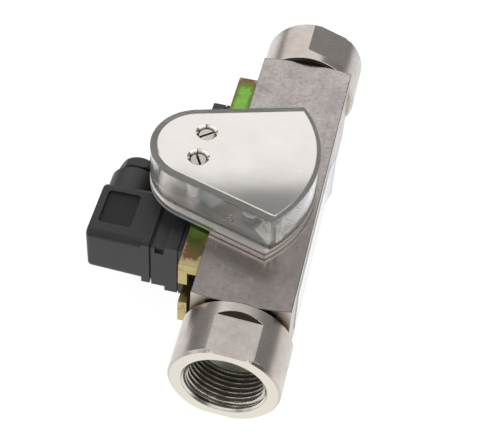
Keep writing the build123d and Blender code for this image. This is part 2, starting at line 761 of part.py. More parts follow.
def pointer_axle():
    """Pin pressed into the frame, with a shoulder that the hub runs on."""
    pin = AXLE_DIAMETER / 2
    shoulder = AXLE_SHOULDER / 2
    end = HUB_TOP + CLIP_HEIGHT + 1.2
    return turned([
        (0, GASKET_TOP),
        (pin, GASKET_TOP),
        (pin, FLOOR_TOP),
        (shoulder, FLOOR_TOP),
        (shoulder, FLOOR_TOP + AXLE_SHOULDER_HEIGHT),
        (pin, FLOOR_TOP + AXLE_SHOULDER_HEIGHT),
        (pin, end - 0.3),
        (pin - 0.3, end),
        (0, end),
    ], (PIVOT_X, PIVOT_Y, 0), (0, 0, 1))


def axle_clip():
    """Collar that keeps the hub on its axle."""
    start = HUB_TOP + RUNNING_CLEARANCE
    inner = AXLE_DIAMETER / 2 + PRESS_CLEARANCE
    return tube(CLIP_DIAMETER / 2, inner, start, start + CLIP_HEIGHT, (PIVOT_X, PIVOT_Y, 0), (0, 0, 1))


def on_pointer(shape):
    """Turn a shape drawn about the pivot along +X to the pointer's rest angle."""
    return Pos(PIVOT_X, PIVOT_Y, 0) * Rot(0, 0, -POINTER_SWING / 2) * shape


def pointer_hub():
    """Bush that turns on the axle; the pointer is pressed on its step."""
    bore = AXLE_DIAMETER / 2 + RUNNING_CLEARANCE
    outer = HUB_DIAMETER / 2
    step = outer - 0.8
    return turned([
        (bore, HUB_BOTTOM),
        (outer, HUB_BOTTOM),
        (outer, POINTER_LEVEL),
        (step, POINTER_LEVEL),
        (step, HUB_TOP),
        (bore, HUB_TOP),
    ], (PIVOT_X, PIVOT_Y, 0), (0, 0, 1))


def pointer():
    """Flat tapered needle with an upright flag at its tip and a short tail."""
    root = POINTER_ROOT_WIDTH / 2
    tip = POINTER_TIP_WIDTH / 2
    outline = make_face(Polyline(
        (-POINTER_TAIL, -root),
        (0, -root),
        (POINTER_LENGTH, -tip),
        (POINTER_LENGTH, tip),
        (0, root),
        (-POINTER_TAIL, root),
        close=True,
    ))
    outline = outline + Circle(HUB_DIAMETER / 2) + Pos(COUPLING_RADIUS, 0) * Circle(POINTER_MAGNET_DIAMETER / 2)
    outline = outline + Pos(-POINTER_TAIL, 0) * Circle(WEIGHT_DIAMETER / 2)
    outline = outline - Circle(HUB_DIAMETER / 2 - 0.8 + PRESS_CLEARANCE)
    body = extrude(Pos(0, 0, POINTER_LEVEL) * outline, amount=POINTER_THICKNESS)
    flag_low = POINTER_LEVEL - FLAG_DROP
    body += block(POINTER_LENGTH - POINTER_THICKNESS, POINTER_LENGTH, -FLAG_WIDTH / 2, FLAG_WIDTH / 2,
                  flag_low, flag_low + FLAG_HEIGHT)
    return on_pointer(body)


def pointer_magnet():
    """Disc magnet under the needle, over the float's magnet."""
    low = POINTER_LEVEL - POINTER_MAGNET_HEIGHT
    disc = rod(POINTER_MAGNET_DIAMETER / 2, low, POINTER_LEVEL, (COUPLING_RADIUS, 0, 0), (0, 0, 1))
    return on_pointer(disc)


def balance_weight():
    """Small weight on the pointer's tail."""
    low = POINTER_LEVEL - WEIGHT_HEIGHT
    disc = rod(WEIGHT_DIAMETER / 2, low, POINTER_LEVEL, (-POINTER_TAIL, 0, 0), (0, 0, 1))
    return on_pointer(disc)


def clamp_screw_places():
    """Y of the two screws that clamp the switch to the rails."""
    last = SWITCH_END - CLAMP_BAR_END - CLAMP_BAR_LENGTH / 2 + CLAMP_SCREW_SPACING / 2
    return [last - CLAMP_SCREW_SPACING, last]


def case_screw_places():
    """Y and Z of the small screws that hold the carriage plate to the housing."""
    inset = 3.0
    rows = (SWITCH_START + 2 * inset, SWITCH_START + CASE_LENGTH + 2 * inset)
    level = SWITCH_HEIGHT / 2 - inset * 0.55
    return [(y, z) for y in rows for z in (-level, level)]


def carriage_plate():
    """Plate that slides on the lips, with a neck in the slot and a foot behind it."""
    half = SWITCH_HEIGHT / 2
    body = block(CARRIAGE_OUTER, CARRIAGE_INNER, SWITCH_START, SWITCH_END, -half, half)
    neck_half = RAIL_SLOT / 2 - SLIDE_CLEARANCE
    neck_end = RAIL_FACE + RAIL_LIP + SLIDE_CLEARANCE
    neck_start_y = SWITCH_START + NECK_MARGIN
    neck_end_y = SWITCH_END - NECK_MARGIN
    body += block(CARRIAGE_INNER, neck_end, neck_start_y, neck_end_y, -neck_half, neck_half)
    foot_y = SWITCH_START + FOOT_START
    foot_half = FOOT_HEIGHT / 2
    body += block(neck_end, neck_end + FOOT_THICKNESS, foot_y, foot_y + FOOT_LENGTH, -foot_half, foot_half)
    hole = CLAMP_SCREW_DIAMETER / 2 + HOLE_CLEARANCE
    for y in clamp_screw_places():
        body -= rod(hole, CARRIAGE_OUTER, neck_end, (0, y, 0), (1, 0, 0))
    board_z = BOARD_HEIGHT / 2 - POST_DIAMETER / 2
    board_y = board_start() + POST_DIAMETER / 2
    for y in (board_y, board_y + BOARD_LENGTH - POST_DIAMETER):
        for z in (-board_z, board_z):
            body += rod(POST_DIAMETER / 2, CARRIAGE_OUTER - BOARD_POST, CARRIAGE_OUTER, (0, y, z), (1, 0, 0))
    hole = CASE_SCREW_DIAMETER / 2 + HOLE_CLEARANCE
    head = CASE_SCREW_HEAD / 2 + HOLE_CLEARANCE
    for y, z in case_screw_places():
        body -= turned([
            (0, CARRIAGE_OUTER),
            (hole, CARRIAGE_OUTER),
            (hole, CARRIAGE_INNER - head + hole),
            (head, CARRIAGE_INNER),
            (0, CARRIAGE_INNER),
        ], (0, y, z), (1, 0, 0))
    return body


def case_screws():
    """Small countersunk screws from the rail side into the housing."""
    head = CASE_SCREW_HEAD / 2
    shank = CASE_SCREW_DIAMETER / 2
    screws = []
    for y, z in case_screw_places():
        screw = turned([
            (0, CARRIAGE_OUTER - CASE_SCREW_DEPTH),
            (shank, CARRIAGE_OUTER - CASE_SCREW_DEPTH),
            (shank, CARRIAGE_INNER - head + shank),
            (head, CARRIAGE_INNER),
            (0, CARRIAGE_INNER),
        ], (0, y, z), (1, 0, 0))
        cross = Box(1.2, 0.6, 2.2) + Box(1.2, 2.2, 0.6)
        screws.append(screw - Pos(CARRIAGE_INNER, y, z) * cross)
    return Compound(screws)


def board_start():
    """Y where the circuit board starts."""
    return SWITCH_START + CASE_WALL + BOARD_END_GAP


def pin_places():
    """Y, Z and direction of width of the flat pins: two upright, the earth across."""
    level = PLUG_RISE
    half = PIN_SPACING / 2
    return [
        (PLUG_MIDDLE - half, level, "z"),
        (PLUG_MIDDLE + half, level, "z"),
        (PLUG_MIDDLE, level - EARTH_PIN_DROP, "y"),
    ]


def flat_pin(place, x0, x1, grow):
    """One flat pin between two places in X, grown on all sides by grow."""
    y, z, direction = place
    wide = PIN_WIDTH / 2 + grow
    thin = PIN_THICKNESS / 2 + grow
    dy, dz = (thin, wide) if direction == "z" else (wide, thin)
    return block(x0, x1, y - dy, y + dy, z - dz, z + dz)


def switch_housing():
    """Stepped moulding: long low slab, short case on it, hollow from the rail side."""
    half = SWITCH_HEIGHT / 2
    groove = SEAM_GROOVE
    seam = CARRIAGE_OUTER - groove
    body = block(SLAB_OUTER, seam, SWITCH_START, SWITCH_END, -half, half)
    body += block(seam, CARRIAGE_OUTER, SWITCH_START + groove, SWITCH_END - groove, -half + groove, half - groove)
    case_low = CASE_RISE - CASE_HEIGHT / 2
    case_high = CASE_RISE + CASE_HEIGHT / 2
    case_end = SWITCH_START + CASE_LENGTH
    body += block(CASE_OUTER, SLAB_OUTER, SWITCH_START, case_end, case_low, case_high)
    far_edges = body.edges().filter_by(Axis.Z).filter_by(lambda e: abs(e.center().Y - SWITCH_END) < 0.01)
    body = fillet(far_edges.sort_by(Axis.X)[:1], 0.6)
    step_edges = body.edges().filter_by(Axis.Z).filter_by(lambda e: abs(e.center().Y - case_end) < 0.01)
    body = fillet(step_edges.sort_by(Axis.X)[:1], 1.5)
    wall = CASE_WALL
    cavity_low = case_low + wall
    cavity_high = case_high - wall
    body -= block(CASE_OUTER + wall, CARRIAGE_OUTER, SWITCH_START + wall, case_end - wall, cavity_low, cavity_high)
    boss = PLUG_SCREW_DIAMETER / 2 + 1.8
    body += rod(boss, CASE_OUTER + wall, CASE_OUTER + wall + 3.2, (0, PLUG_MIDDLE, PLUG_RISE), (1, 0, 0))
    body -= rod(PLUG_SCREW_DIAMETER / 2 + THREAD_CLEARANCE, CASE_OUTER, CASE_OUTER + wall + 3.2,
                (0, PLUG_MIDDLE, PLUG_RISE), (1, 0, 0))
    for place in pin_places():
        body -= flat_pin(place, CASE_OUTER, CASE_OUTER + wall, PRESS_CLEARANCE)
    notch_x = SLAB_OUTER - 0.4
    body -= block(notch_x - NOTCH_WIDTH, notch_x, SWITCH_START, SWITCH_START + NOTCH_LENGTH,
                  case_high - NOTCH_DEPTH, case_high)
    hole = CLAMP_SCREW_DIAMETER / 2 + HOLE_CLEARANCE
    for y in clamp_screw_places():
        body -= rod(hole, SLAB_OUTER, CARRIAGE_OUTER, (0, y, 0), (1, 0, 0))
    hole = CASE_SCREW_DIAMETER / 2 + THREAD_CLEARANCE
    for y, z in case_screw_places():
        body -= rod(hole, CARRIAGE_OUTER - CASE_SCREW_DEPTH - 0.2, CARRIAGE_OUTER, (0, y, z), (1, 0, 0))
    return body


def circuit_board():
    """Board on the carriage plate's four posts."""
    inner = CARRIAGE_OUTER - BOARD_POST
    start = board_start()
    half = BOARD_HEIGHT / 2
    return block(inner - BOARD_THICKNESS, inner, start, start + BOARD_LENGTH, -half, half)


def reed_contact():
    """Glass tube on the board beside the float's magnet, with a bent lead at each end."""
    face = CARRIAGE_OUTER - BOARD_POST - BOARD_THICKNESS
    x = face - REED_DIAMETER / 2 - 0.1
    middle = board_start() + BOARD_LENGTH - REED_LENGTH / 2 - REED_LEAD_LENGTH - 1
    glass = rod(REED_DIAMETER / 2, middle - REED_LENGTH / 2, middle + REED_LENGTH / 2, (x, 0, 0))
    glass = fillet(glass.edges(), REED_DIAMETER * 0.3)
    lead = REED_LEAD / 2
    foot = REED_LEAD * 0.8
    for side in (-1, 1):
        tip = middle + side * (REED_LENGTH / 2 + REED_LEAD_LENGTH)
        start, end = sorted((middle + side * (REED_LENGTH / 2 - 1), tip))
        glass += rod(lead, start, end, (x, 0, 0))
        glass += rod(foot, x - foot, face, (0, tip, 0), (1, 0, 0))
    return glass


def contact_pins():
    """Three flat pins from the board through the case into the plug."""
    inner = CARRIAGE_OUTER - BOARD_POST - BOARD_THICKNESS
    return Compound([flat_pin(place, CASE_OUTER - PIN_REACH, inner, 0) for place in pin_places()])


def clamp_bar():
    """Tapped bar behind the lips."""
    lip = RAIL_FACE + RAIL_LIP + SLIDE_CLEARANCE
    end = SWITCH_END - CLAMP_BAR_END
    half = FOOT_HEIGHT / 2
    body = block(lip, lip + FOOT_THICKNESS, end - CLAMP_BAR_LENGTH, end, -half, half)
    for y in clamp_screw_places():
        body -= rod(CLAMP_SCREW_DIAMETER / 2 + THREAD_CLEARANCE, lip, lip + FOOT_THICKNESS, (0, y, 0), (1, 0, 0))
    return body


def clamp_screws():
    """Cheese head screws through housing and carriage into the bar."""
    head = CLAMP_SCREW_HEAD / 2
    end = RAIL_FACE + RAIL_LIP + SLIDE_CLEARANCE + FOOT_THICKNESS - 0.2
    top = SLAB_OUTER - CLAMP_SCREW_HEAD_HEIGHT
    screws = []
    for y in clamp_screw_places():
        screw = turned([
            (0, top),
            (head - 0.4, top),
            (head, top + 0.4),
            (head, SLAB_OUTER),
            (CLAMP_SCREW_DIAMETER / 2, SLAB_OUTER),
            (CLAMP_SCREW_DIAMETER / 2, end),
            (0, end),
        ], (0, y, 0), (1, 0, 0))
        slot = Box(2 * SLOT_DEPTH, SLOT_WIDTH, CLAMP_SCREW_HEAD + 1)
        screws.append(screw - Pos(top, y, 0) * Rot(20, 0, 0) * slot)
    return Compound(screws)


def across(x, y, z, length, height, corner):
    """Rounded rectangle on a plane across X, length along Y and height along Z."""
    plane = Plane(origin=(x, y, z), x_dir=(0, 1, 0), z_dir=(-1, 0, 0))
    return plane * RectangleRounded(length, height, corner)


def plug_gasket():
    """Flat gasket between case and plug, a little smaller all round."""
    length = PLUG_LENGTH - 2 * PLUG_GASKET_SETBACK
    height = PLUG_HEIGHT - 2 * PLUG_GASKET_SETBACK
    body = extrude(across(CASE_OUTER, PLUG_MIDDLE, PLUG_RISE, length, height, 2.0), amount=PLUG_GASKET_THICKNESS)
    window = across(CASE_OUTER, PLUG_MIDDLE, PLUG_RISE, length - 6, height - 5, 2.0)
    return body - extrude(window, amount=PLUG_GASKET_THICKNESS)


def plug_housing():
    """Tapered moulding with a base flange, a recess on top and the gland's neck."""
    flange_z = PLUG_RISE - (PLUG_FLANGE_HEIGHT - PLUG_HEIGHT) / 2
    body = extrude(across(PLUG_BASE, PLUG_MIDDLE, flange_z, PLUG_LENGTH, PLUG_FLANGE_HEIGHT, 1.2),
                   amount=PLUG_FLANGE_THICKNESS)
    root = across(PLUG_BASE, PLUG_MIDDLE, PLUG_RISE, PLUG_LENGTH, PLUG_HEIGHT, PLUG_EDGE)
    tip = across(PLUG_TIP, PLUG_MIDDLE, PLUG_RISE, PLUG_TAPER_LENGTH, PLUG_TAPER_HEIGHT, PLUG_EDGE)
    shell = loft(Sketch() + [root, tip])
    shell = fillet(shell.faces().sort_by(Axis.X)[0].edges(), PLUG_END_EDGE)
    body += shell
    side = PLUG_MIDDLE + PLUG_TAPER_LENGTH / 2 - 2
    neck_end = PLUG_MIDDLE + PLUG_LENGTH / 2 + GLAND_NECK_LENGTH
    neck = turned([
        (0, side),
        (GLAND_NECK_DIAMETER / 2, side),
        (GLAND_NECK_DIAMETER / 2, neck_end - 0.5),
        (GLAND_NECK_DIAMETER / 2 - 0.5, neck_end),
        (0, neck_end),
    ], (GLAND_X, 0, PLUG_RISE))
    body += neck
    wall = PLUG_WALL
    cavity = across(PLUG_BASE, PLUG_MIDDLE, PLUG_RISE, PLUG_TAPER_LENGTH - 2 * wall,
                    PLUG_TAPER_HEIGHT - 2 * wall, 1.5)
    body -= extrude(cavity, amount=PLUG_CAVITY_DEPTH)
    seat = neck_end - GLAND_BORE_DEPTH
    body -= rod(GLAND_BORE / 2 + THREAD_CLEARANCE, seat, neck_end, (GLAND_X, 0, PLUG_RISE))
    body -= rod(GLAND_SHOULDER_BORE / 2, PLUG_MIDDLE, seat, (GLAND_X, 0, PLUG_RISE))
    top = PLUG_RISE + PLUG_TAPER_HEIGHT / 2
    recess = Plane(origin=(GLAND_X, PLUG_MIDDLE + 1, top - RECESS_DEPTH)) * RectangleRounded(
        RECESS_WIDTH, RECESS_LENGTH, RECESS_CORNER)
    body -= extrude(recess, amount=2 * RECESS_DEPTH)
    well = PLUG_SCREW_HEAD / 2 + HOLE_CLEARANCE
    hole = PLUG_SCREW_DIAMETER / 2 + HOLE_CLEARANCE
    body -= rod(well, PLUG_TIP, PLUG_TIP + PLUG_SCREW_SINK, (0, PLUG_MIDDLE, PLUG_RISE), (1, 0, 0))
    body -= rod(hole, PLUG_TIP, PLUG_BASE, (0, PLUG_MIDDLE, PLUG_RISE), (1, 0, 0))
    return body


def plug_insert():
    """Terminal block in the plug, slotted for the pins."""
    wall = PLUG_WALL + INSERT_GAP
    outline = across(PLUG_BASE, PLUG_MIDDLE, PLUG_RISE, PLUG_TAPER_LENGTH - 2 * wall,
                     PLUG_TAPER_HEIGHT - 2 * wall, 1.2)
    body = extrude(outline, amount=INSERT_DEPTH)
    pin_end = CASE_OUTER - PIN_REACH - 0.5
    for place in pin_places():
        body -= flat_pin(place, pin_end, PLUG_BASE, 0.15)
    hole = PLUG_SCREW_DIAMETER / 2 + HOLE_CLEARANCE
    body -= rod(hole, PLUG_BASE - INSERT_DEPTH, PLUG_BASE, (0, PLUG_MIDDLE, PLUG_RISE), (1, 0, 0))
    return body


def plug_screw():
    """Long screw through the plug into the case."""
    seat = PLUG_TIP + PLUG_SCREW_SINK
    top = seat - PLUG_SCREW_HEAD_HEIGHT
    end = CASE_OUTER + CASE_WALL + 3.0
    head = PLUG_SCREW_HEAD / 2
    shank = PLUG_SCREW_DIAMETER / 2
    screw = turned([
        (0, top),
        (head - 0.4, top),
        (head, top + 0.4),
        (head, seat),
        (shank, seat),
        (shank, end),
        (0, end),
    ], (0, PLUG_MIDDLE, PLUG_RISE), (1, 0, 0))
    slot = Box(2 * SLOT_DEPTH, SLOT_WIDTH, PLUG_SCREW_HEAD + 1)
    return screw - Pos(top, PLUG_MIDDLE, PLUG_RISE) * slot


def gland_start():
    """Y of the shoulder that the gland's seal sits on."""
    return PLUG_MIDDLE + PLUG_LENGTH / 2 + GLAND_NECK_LENGTH - GLAND_BORE_DEPTH


def gland_seal():
    """Soft ring that grips the cable."""
    start = gland_start()
    outer = GLAND_BORE / 2 - 0.1
    return tube(outer, CABLE_DIAMETER / 2, start, start + GLAND_SEAL_LENGTH, (GLAND_X, 0, PLUG_RISE))


def gland_washer():
    """Thin washer between seal and nut."""
    start = gland_start() + GLAND_SEAL_LENGTH
    outer = GLAND_BORE / 2 - 0.1
    inner = CABLE_DIAMETER / 2 + 0.6
    return tube(outer, inner, start, start + GLAND_WASHER_THICKNESS, (GLAND_X, 0, PLUG_RISE))


def gland_nut():
    """Hollow nut screwed into the neck, round-shouldered outside."""
    start = gland_start() + GLAND_SEAL_LENGTH + GLAND_WASHER_THICKNESS
    neck_end = gland_start() + GLAND_BORE_DEPTH
    head_start = neck_end + GLAND_GROOVE_LENGTH
    head_end = head_start + GLAND_NUT_LENGTH
    outer = GLAND_NUT_DIAMETER / 2
    origin = (GLAND_X, 0, PLUG_RISE)
    head = hexagon(GLAND_NUT_SIZE, head_start, head_end, origin, (0, 1, 0))
    round_off = turned([
        (0, head_start),
        (outer - 0.6, head_start),
        (outer, head_start + 0.6),
        (outer, head_end - 2.2),
        (outer - 0.9, head_end - 0.8),
        (outer - 2.2, head_end),
        (0, head_end),
    ], origin)
    body = head & round_off
    body += rod(GLAND_BORE / 2, start, head_start, origin)
    body -= rod(CABLE_DIAMETER / 2 + 0.5, start, head_end, origin)
    return body


def side_label():
    """Thin blank sheet on the block's side, its far end bent away."""
    face = BLOCK_SIDE / 2
    flat_end = LABEL_START + LABEL_LENGTH - LABEL_LIFT_LENGTH
    end = LABEL_START + LABEL_LENGTH
    middle = ((flat_end + end) / 2, LABEL_LIFT / 4)
    low = ThreePointArc((face, flat_end), (face + middle[1], middle[0]), (face + LABEL_LIFT, end))
    thick = LABEL_THICKNESS
    high = ThreePointArc((face + thick, flat_end), (face + thick + middle[1], middle[0]),
                         (face + thick + LABEL_LIFT, end))
    outline = make_face([
        Line((face, LABEL_START), (face, flat_end)),
        low,
        Line((face + LABEL_LIFT, end), (face + thick + LABEL_LIFT, end)),
        high,
        Line((face + thick, flat_end), (face + thick, LABEL_START)),
        Line((face + thick, LABEL_START), (face, LABEL_START)),
    ])
    bottom = -LABEL_HEIGHT / 2 - LABEL_DROP
    return extrude(Pos(0, 0, bottom) * outline, amount=LABEL_HEIGHT)


def all_parts():
    """Every node's name and shape."""
    inlet_nose = FLOAT_START - RUNNING_CLEARANCE
    outlet_nose = FLOAT_END + FLOAT_TRAVEL + RUNNING_CLEARANCE - 1.0
    return {
        "meter_block": meter_block(),
        "inlet_fitting": end_fitting(0, 1, INLET_FLAT_TILT),
        "outlet_fitting": end_fitting(OUTLET_MOUTH, -1, OUTLET_FLAT_TILT),
        "fitting_seals": fitting_seals(),
        "inlet_guide": flow_guide(STACK_START, 1, inlet_nose),
        "outlet_guide": flow_guide(STACK_END, -1, outlet_nose),
        "metering_sleeve": metering_sleeve(),
        "guide_rod": guide_rod(),
        "rod_nuts": rod_nuts(),
        "float_body": float_body(),
        "float_magnet": float_magnet(),
        "float_cap": float_cap(),
        "return_spring": return_spring(),
        "upper_rail": switch_rail(1),
        "lower_rail": switch_rail(-1),
        "rail_screws": rail_screws(),
        "indicator_base": indicator_base(),
        "base_gasket": base_gasket(),
        "indicator_frame": indicator_frame(),
        "base_screws": base_screws(),
        "scale_plate": scale_plate(),
        "clear_ring": clear_ring(),
        "face_plate": face_plate(),
        "face_screws": face_screws(),
        "spacer_pillars": spacer_pillars(),
        "pillar_screws": pillar_screws(),
        "pointer_axle": pointer_axle(),
        "axle_clip": axle_clip(),
        "pointer_hub": pointer_hub(),
        "pointer": pointer(),
        "pointer_magnet": pointer_magnet(),
        "balance_weight": balance_weight(),
        "carriage_plate": carriage_plate(),
        "switch_housing": switch_housing(),
        "case_screws": case_screws(),
        "circuit_board": circuit_board(),
        "reed_contact": reed_contact(),
        "contact_pins": contact_pins(),
        "clamp_bar": clamp_bar(),
        "clamp_screws": clamp_screws(),
        "plug_gasket": plug_gasket(),
        "plug_housing": plug_housing(),
        "plug_insert": plug_insert(),
        "plug_screw": plug_screw(),
        "gland_seal": gland_seal(),
        "gland_washer": gland_washer(),
        "gland_nut": gland_nut(),
        "side_label": side_label(),
    }


def main():
    """Write every node as one STEP file."""
    os.makedirs("parts", exist_ok=True)
    for name, shape in all_parts().items():
        export_step(shape, f"parts/{name}.step")


main()
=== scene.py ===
import math

import bmesh
import bpy
from bpy.props import FloatProperty, FloatVectorProperty, IntProperty, PointerProperty
from mathutils import Matrix, Vector


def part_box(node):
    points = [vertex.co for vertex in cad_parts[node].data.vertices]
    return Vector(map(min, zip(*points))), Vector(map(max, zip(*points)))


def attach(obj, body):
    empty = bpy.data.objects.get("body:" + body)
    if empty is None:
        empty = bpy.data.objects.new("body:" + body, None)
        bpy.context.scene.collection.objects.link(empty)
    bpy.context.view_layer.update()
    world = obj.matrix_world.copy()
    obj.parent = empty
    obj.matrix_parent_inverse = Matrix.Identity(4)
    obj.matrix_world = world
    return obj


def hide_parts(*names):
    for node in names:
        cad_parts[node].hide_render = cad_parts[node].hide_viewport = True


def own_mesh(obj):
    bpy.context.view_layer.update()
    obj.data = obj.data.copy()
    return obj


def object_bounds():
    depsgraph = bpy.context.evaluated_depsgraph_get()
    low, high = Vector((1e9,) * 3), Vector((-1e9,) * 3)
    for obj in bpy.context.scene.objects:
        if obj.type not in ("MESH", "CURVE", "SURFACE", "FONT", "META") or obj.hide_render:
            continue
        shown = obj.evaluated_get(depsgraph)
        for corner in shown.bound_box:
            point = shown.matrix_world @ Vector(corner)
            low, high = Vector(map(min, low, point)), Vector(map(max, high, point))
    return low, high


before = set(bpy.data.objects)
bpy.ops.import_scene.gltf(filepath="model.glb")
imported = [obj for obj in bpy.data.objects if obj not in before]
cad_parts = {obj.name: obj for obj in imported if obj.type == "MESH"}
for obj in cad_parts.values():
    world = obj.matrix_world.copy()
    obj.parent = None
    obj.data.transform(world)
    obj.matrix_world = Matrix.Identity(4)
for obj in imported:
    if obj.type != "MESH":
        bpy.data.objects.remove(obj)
cad_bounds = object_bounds()

bl_info = {
    "name": "Variable Area Flow Meter",
    "version": (1, 0, 0),
    "blender": (4, 5, 0),
    "location": "3D View > Sidebar > Flow Meter",
    "description": "Finishes a variable area flow meter with threads, scale marks, metals and plastics",
    "category": "Object",
}

BODY = "meter_body"

# Fixed sizes of a fitting: radii, distances from its mouth and the depth of its seal groove

MOUTH_RADIUS = 0.01725
CORE_RADIUS = 0.0151455
PORT_DEPTH = 0.018
BORE_START = 0.0198
BORE_RADIUS = 0.012
COLLAR_END = 0.025
SEAL_OUTER = 0.0197
SEAL_INNER = 0.0175
SEAL_DEPTH = 0.0018
SPIGOT_RADIUS = 0.0165
SPIGOT_END = 0.037

# The thread's form and mesh: flat share of its crest and root, and how it fades at the port's end

THREAD_FLAT = 0.14
THREAD_STOP = 0.0004
THREAD_FADE = 0.0016
THREAD_ROWS = 94
RING_STEPS = 160
WELD_DISTANCE = 0.000002
SMALLEST_COSINE = 0.000001

# Marks of the scale as length and width, half the thickness of their ink, and the numbers' inset

LONG_MARK = (0.0030, 0.00035)
SHORT_MARK = (0.0017, 0.0002)
MARKS_PER_STEP = 5
HALF_INK = 0.00002
NUMBER_INSET = 0.0052

# Softboxes seen from the object: turn, lower edge, upper edge and span in degrees, distance and property

SOFTBOXES = (
    ("softbox_back", 15.5, 3, 48.3, 55, 1.3, "back_light"),
    ("softbox_top", 0, 54, 86, 70, 1.5, "top_light"),
    ("softbox_front", 175, 14, 46, 50, 1.4, "front_light"),
    ("softbox_left", 108, 2, 60, 60, 1.4, "side_light"),
    ("softbox_right", -106, 28, 68, 60, 1.4, "side_light"),
)
LIT_SPOT = Vector((-0.005, 0.065, 0.041))
FLOOR_MIDDLE = 0.095


# Sizes and colours that a user would change

class FlowMeterFittings(bpy.types.PropertyGroup):
    """Sizes of the two threaded end fittings."""

    radius: FloatProperty(
        name="Radius", description="Outer radius of a fitting", default=0.0225, unit="LENGTH")
    flat_distance: FloatProperty(
        name="Flat Distance", description="Distance of a wrench flat from the axis",
        default=0.0205, unit="LENGTH")
    flat_end: FloatProperty(
        name="Flat End", description="How far the flats run from the mouth", default=0.0180, unit="LENGTH")
    run_out: FloatProperty(
        name="Run-out", description="Length of the slope where a flat's cutter left off",
        default=0.0021, unit="LENGTH")
    rim: FloatProperty(
        name="Rim", description="Chamfer at the mouth and at the shoulder", default=0.001, unit="LENGTH")
    thread_pitch: FloatProperty(
        name="Thread Pitch", description="Distance from one thread to the next",
        default=0.002309, unit="LENGTH")
    thread_depth: FloatProperty(
        name="Thread Depth", description="Depth of the thread's groove", default=0.00148, unit="LENGTH")
    inlet_tilt: FloatProperty(
        name="Inlet Tilt", description="How far the inlet's flats are turned",
        subtype="ANGLE", default=math.radians(4))
    outlet_tilt: FloatProperty(
        name="Outlet Tilt", description="How far the outlet's flats are turned",
        subtype="ANGLE", default=math.radians(20))


class FlowMeterScale(bpy.types.PropertyGroup):
    """The printed scale under the pointer."""

    steps: IntProperty(name="Steps", description="Numbered steps on the scale", default=6, min=1)
    step_value: IntProperty(name="Step Value", description="Flow from one number to the next", default=10)
    sweep: FloatProperty(
        name="Sweep", description="Angle from the first mark to the last",
        subtype="ANGLE", default=math.radians(60))
    outer_radius: FloatProperty(
        name="Outer Radius", description="Radius where the marks end", default=0.0448, unit="LENGTH")
    digit_height: FloatProperty(
        name="Digit Height", description="Height of the numbers", default=0.0026, unit="LENGTH")


class FlowMeterColours(bpy.types.PropertyGroup):
    """Base colours of the finishes."""

    block: FloatVectorProperty(
        name="Block", description="Plated block", subtype="COLOR", default=(0.460, 0.428, 0.420))
    fitting: FloatVectorProperty(
        name="Fitting", description="Turned fittings", subtype="COLOR", default=(0.70, 0.65, 0.60))
    plate: FloatVectorProperty(
        name="Face Plate", description="Satin face plate", subtype="COLOR", default=(0.82, 0.785, 0.755))
    chromate: FloatVectorProperty(
        name="Chromate", description="Film at the rails' ends", subtype="COLOR", default=(0.58, 0.50, 0.22))
    moulding: FloatVectorProperty(
        name="Moulding", description="Black plastic", subtype="COLOR", default=(0.016, 0.0164, 0.0164))


class FlowMeterStage(bpy.types.PropertyGroup):
    """Floor, dome and softboxes."""

    floor_size: FloatProperty(
        name="Floor Size", description="Side of the floor", default=6.0, unit="LENGTH")
    dome: FloatProperty(name="Dome", description="Brightness of the dome all round", default=0.24)
    back_light: FloatProperty(
        name="Back Light", description="Brightness of the softbox behind the object", default=0.80)
    top_light: FloatProperty(
        name="Top Light", description="Brightness of the softbox overhead", default=0.74)
    side_light: FloatProperty(
        name="Side Light", description="Brightness of the softboxes on both sides", default=1.1)
    front_light: FloatProperty(
        name="Front Light", description="Brightness of the softbox beside the camera", default=0.80)


# Helpers for shader nodes

def feed(tree, socket, value):
    """Link a socket, or set its value."""
    if isinstance(value, bpy.types.NodeSocket):
        tree.links.new(value, socket)
    else:
        socket.default_value = value


def feed_in_order(tree, node, values):
    """Link or set a node's first inputs one after the other."""
    for socket, value in zip(node.inputs, values):
        feed(tree, socket, value)
    return node.outputs


def connect(tree, node, **inputs):
    """Link or set a node's inputs by name, with _ for a space."""
    for key, value in inputs.items():
        feed(tree, node.inputs[key.replace("_", " ")], value)


def place(tree, kind, settings=None, **inputs):
    """Add a node with its settings and inputs, and give what it puts out."""
    node = tree.nodes.new(kind)
    for key, value in (settings or {}).items():
        setattr(node, key, value)
    connect(tree, node, **inputs)
    return node.outputs


def calculate(tree, operation, *values, clamp=False):
    """One Math node, and its output."""
    node = tree.nodes.new("ShaderNodeMath")
    node.operation = operation
    node.use_clamp = clamp
    return feed_in_order(tree, node, values)[0]


def calculate_vector(tree, operation, *values):
    """One Vector Math node, and its outputs."""
    node = tree.nodes.new("ShaderNodeVectorMath")
    node.operation = operation
    return feed_in_order(tree, node, values)


def times(tree, first, *others):
    """Values multiplied; of masks, where all of them hold."""
    for other in others:
        first = calculate(tree, "MULTIPLY", first, other)
    return first


def greatest(tree, first, second):
    """The greater of two values; of masks, where either holds."""
    return calculate(tree, "MAXIMUM", first, second)


def minus(tree, first, second):
    """The first value less the second."""
    return calculate(tree, "SUBTRACT", first, second)


def above(tree, value, edge):
    """One where a value is greater than an edge, else nought."""
    return calculate(tree, "GREATER_THAN", value, edge)


def below(tree, value, edge):
    """One where a value is less than an edge, else nought."""
    return calculate(tree, "LESS_THAN", value, edge)


def within(tree, value, low, high):
    """One where a value lies between two others, else nought."""
    return times(tree, above(tree, value, low), below(tree, value, high))


def from_ends(tree, value, low, high):
    """How far a value is from the nearer of two ends."""
    return calculate(tree, "MINIMUM", minus(tree, value, low), minus(tree, high, value))


def distance_from_axis(tree, first, second):
    """Distance from an axis, by the two coordinates across it."""
    squares = calculate(tree, "ADD", times(tree, first, first), times(tree, second, second))
    return calculate(tree, "SQRT", squares)


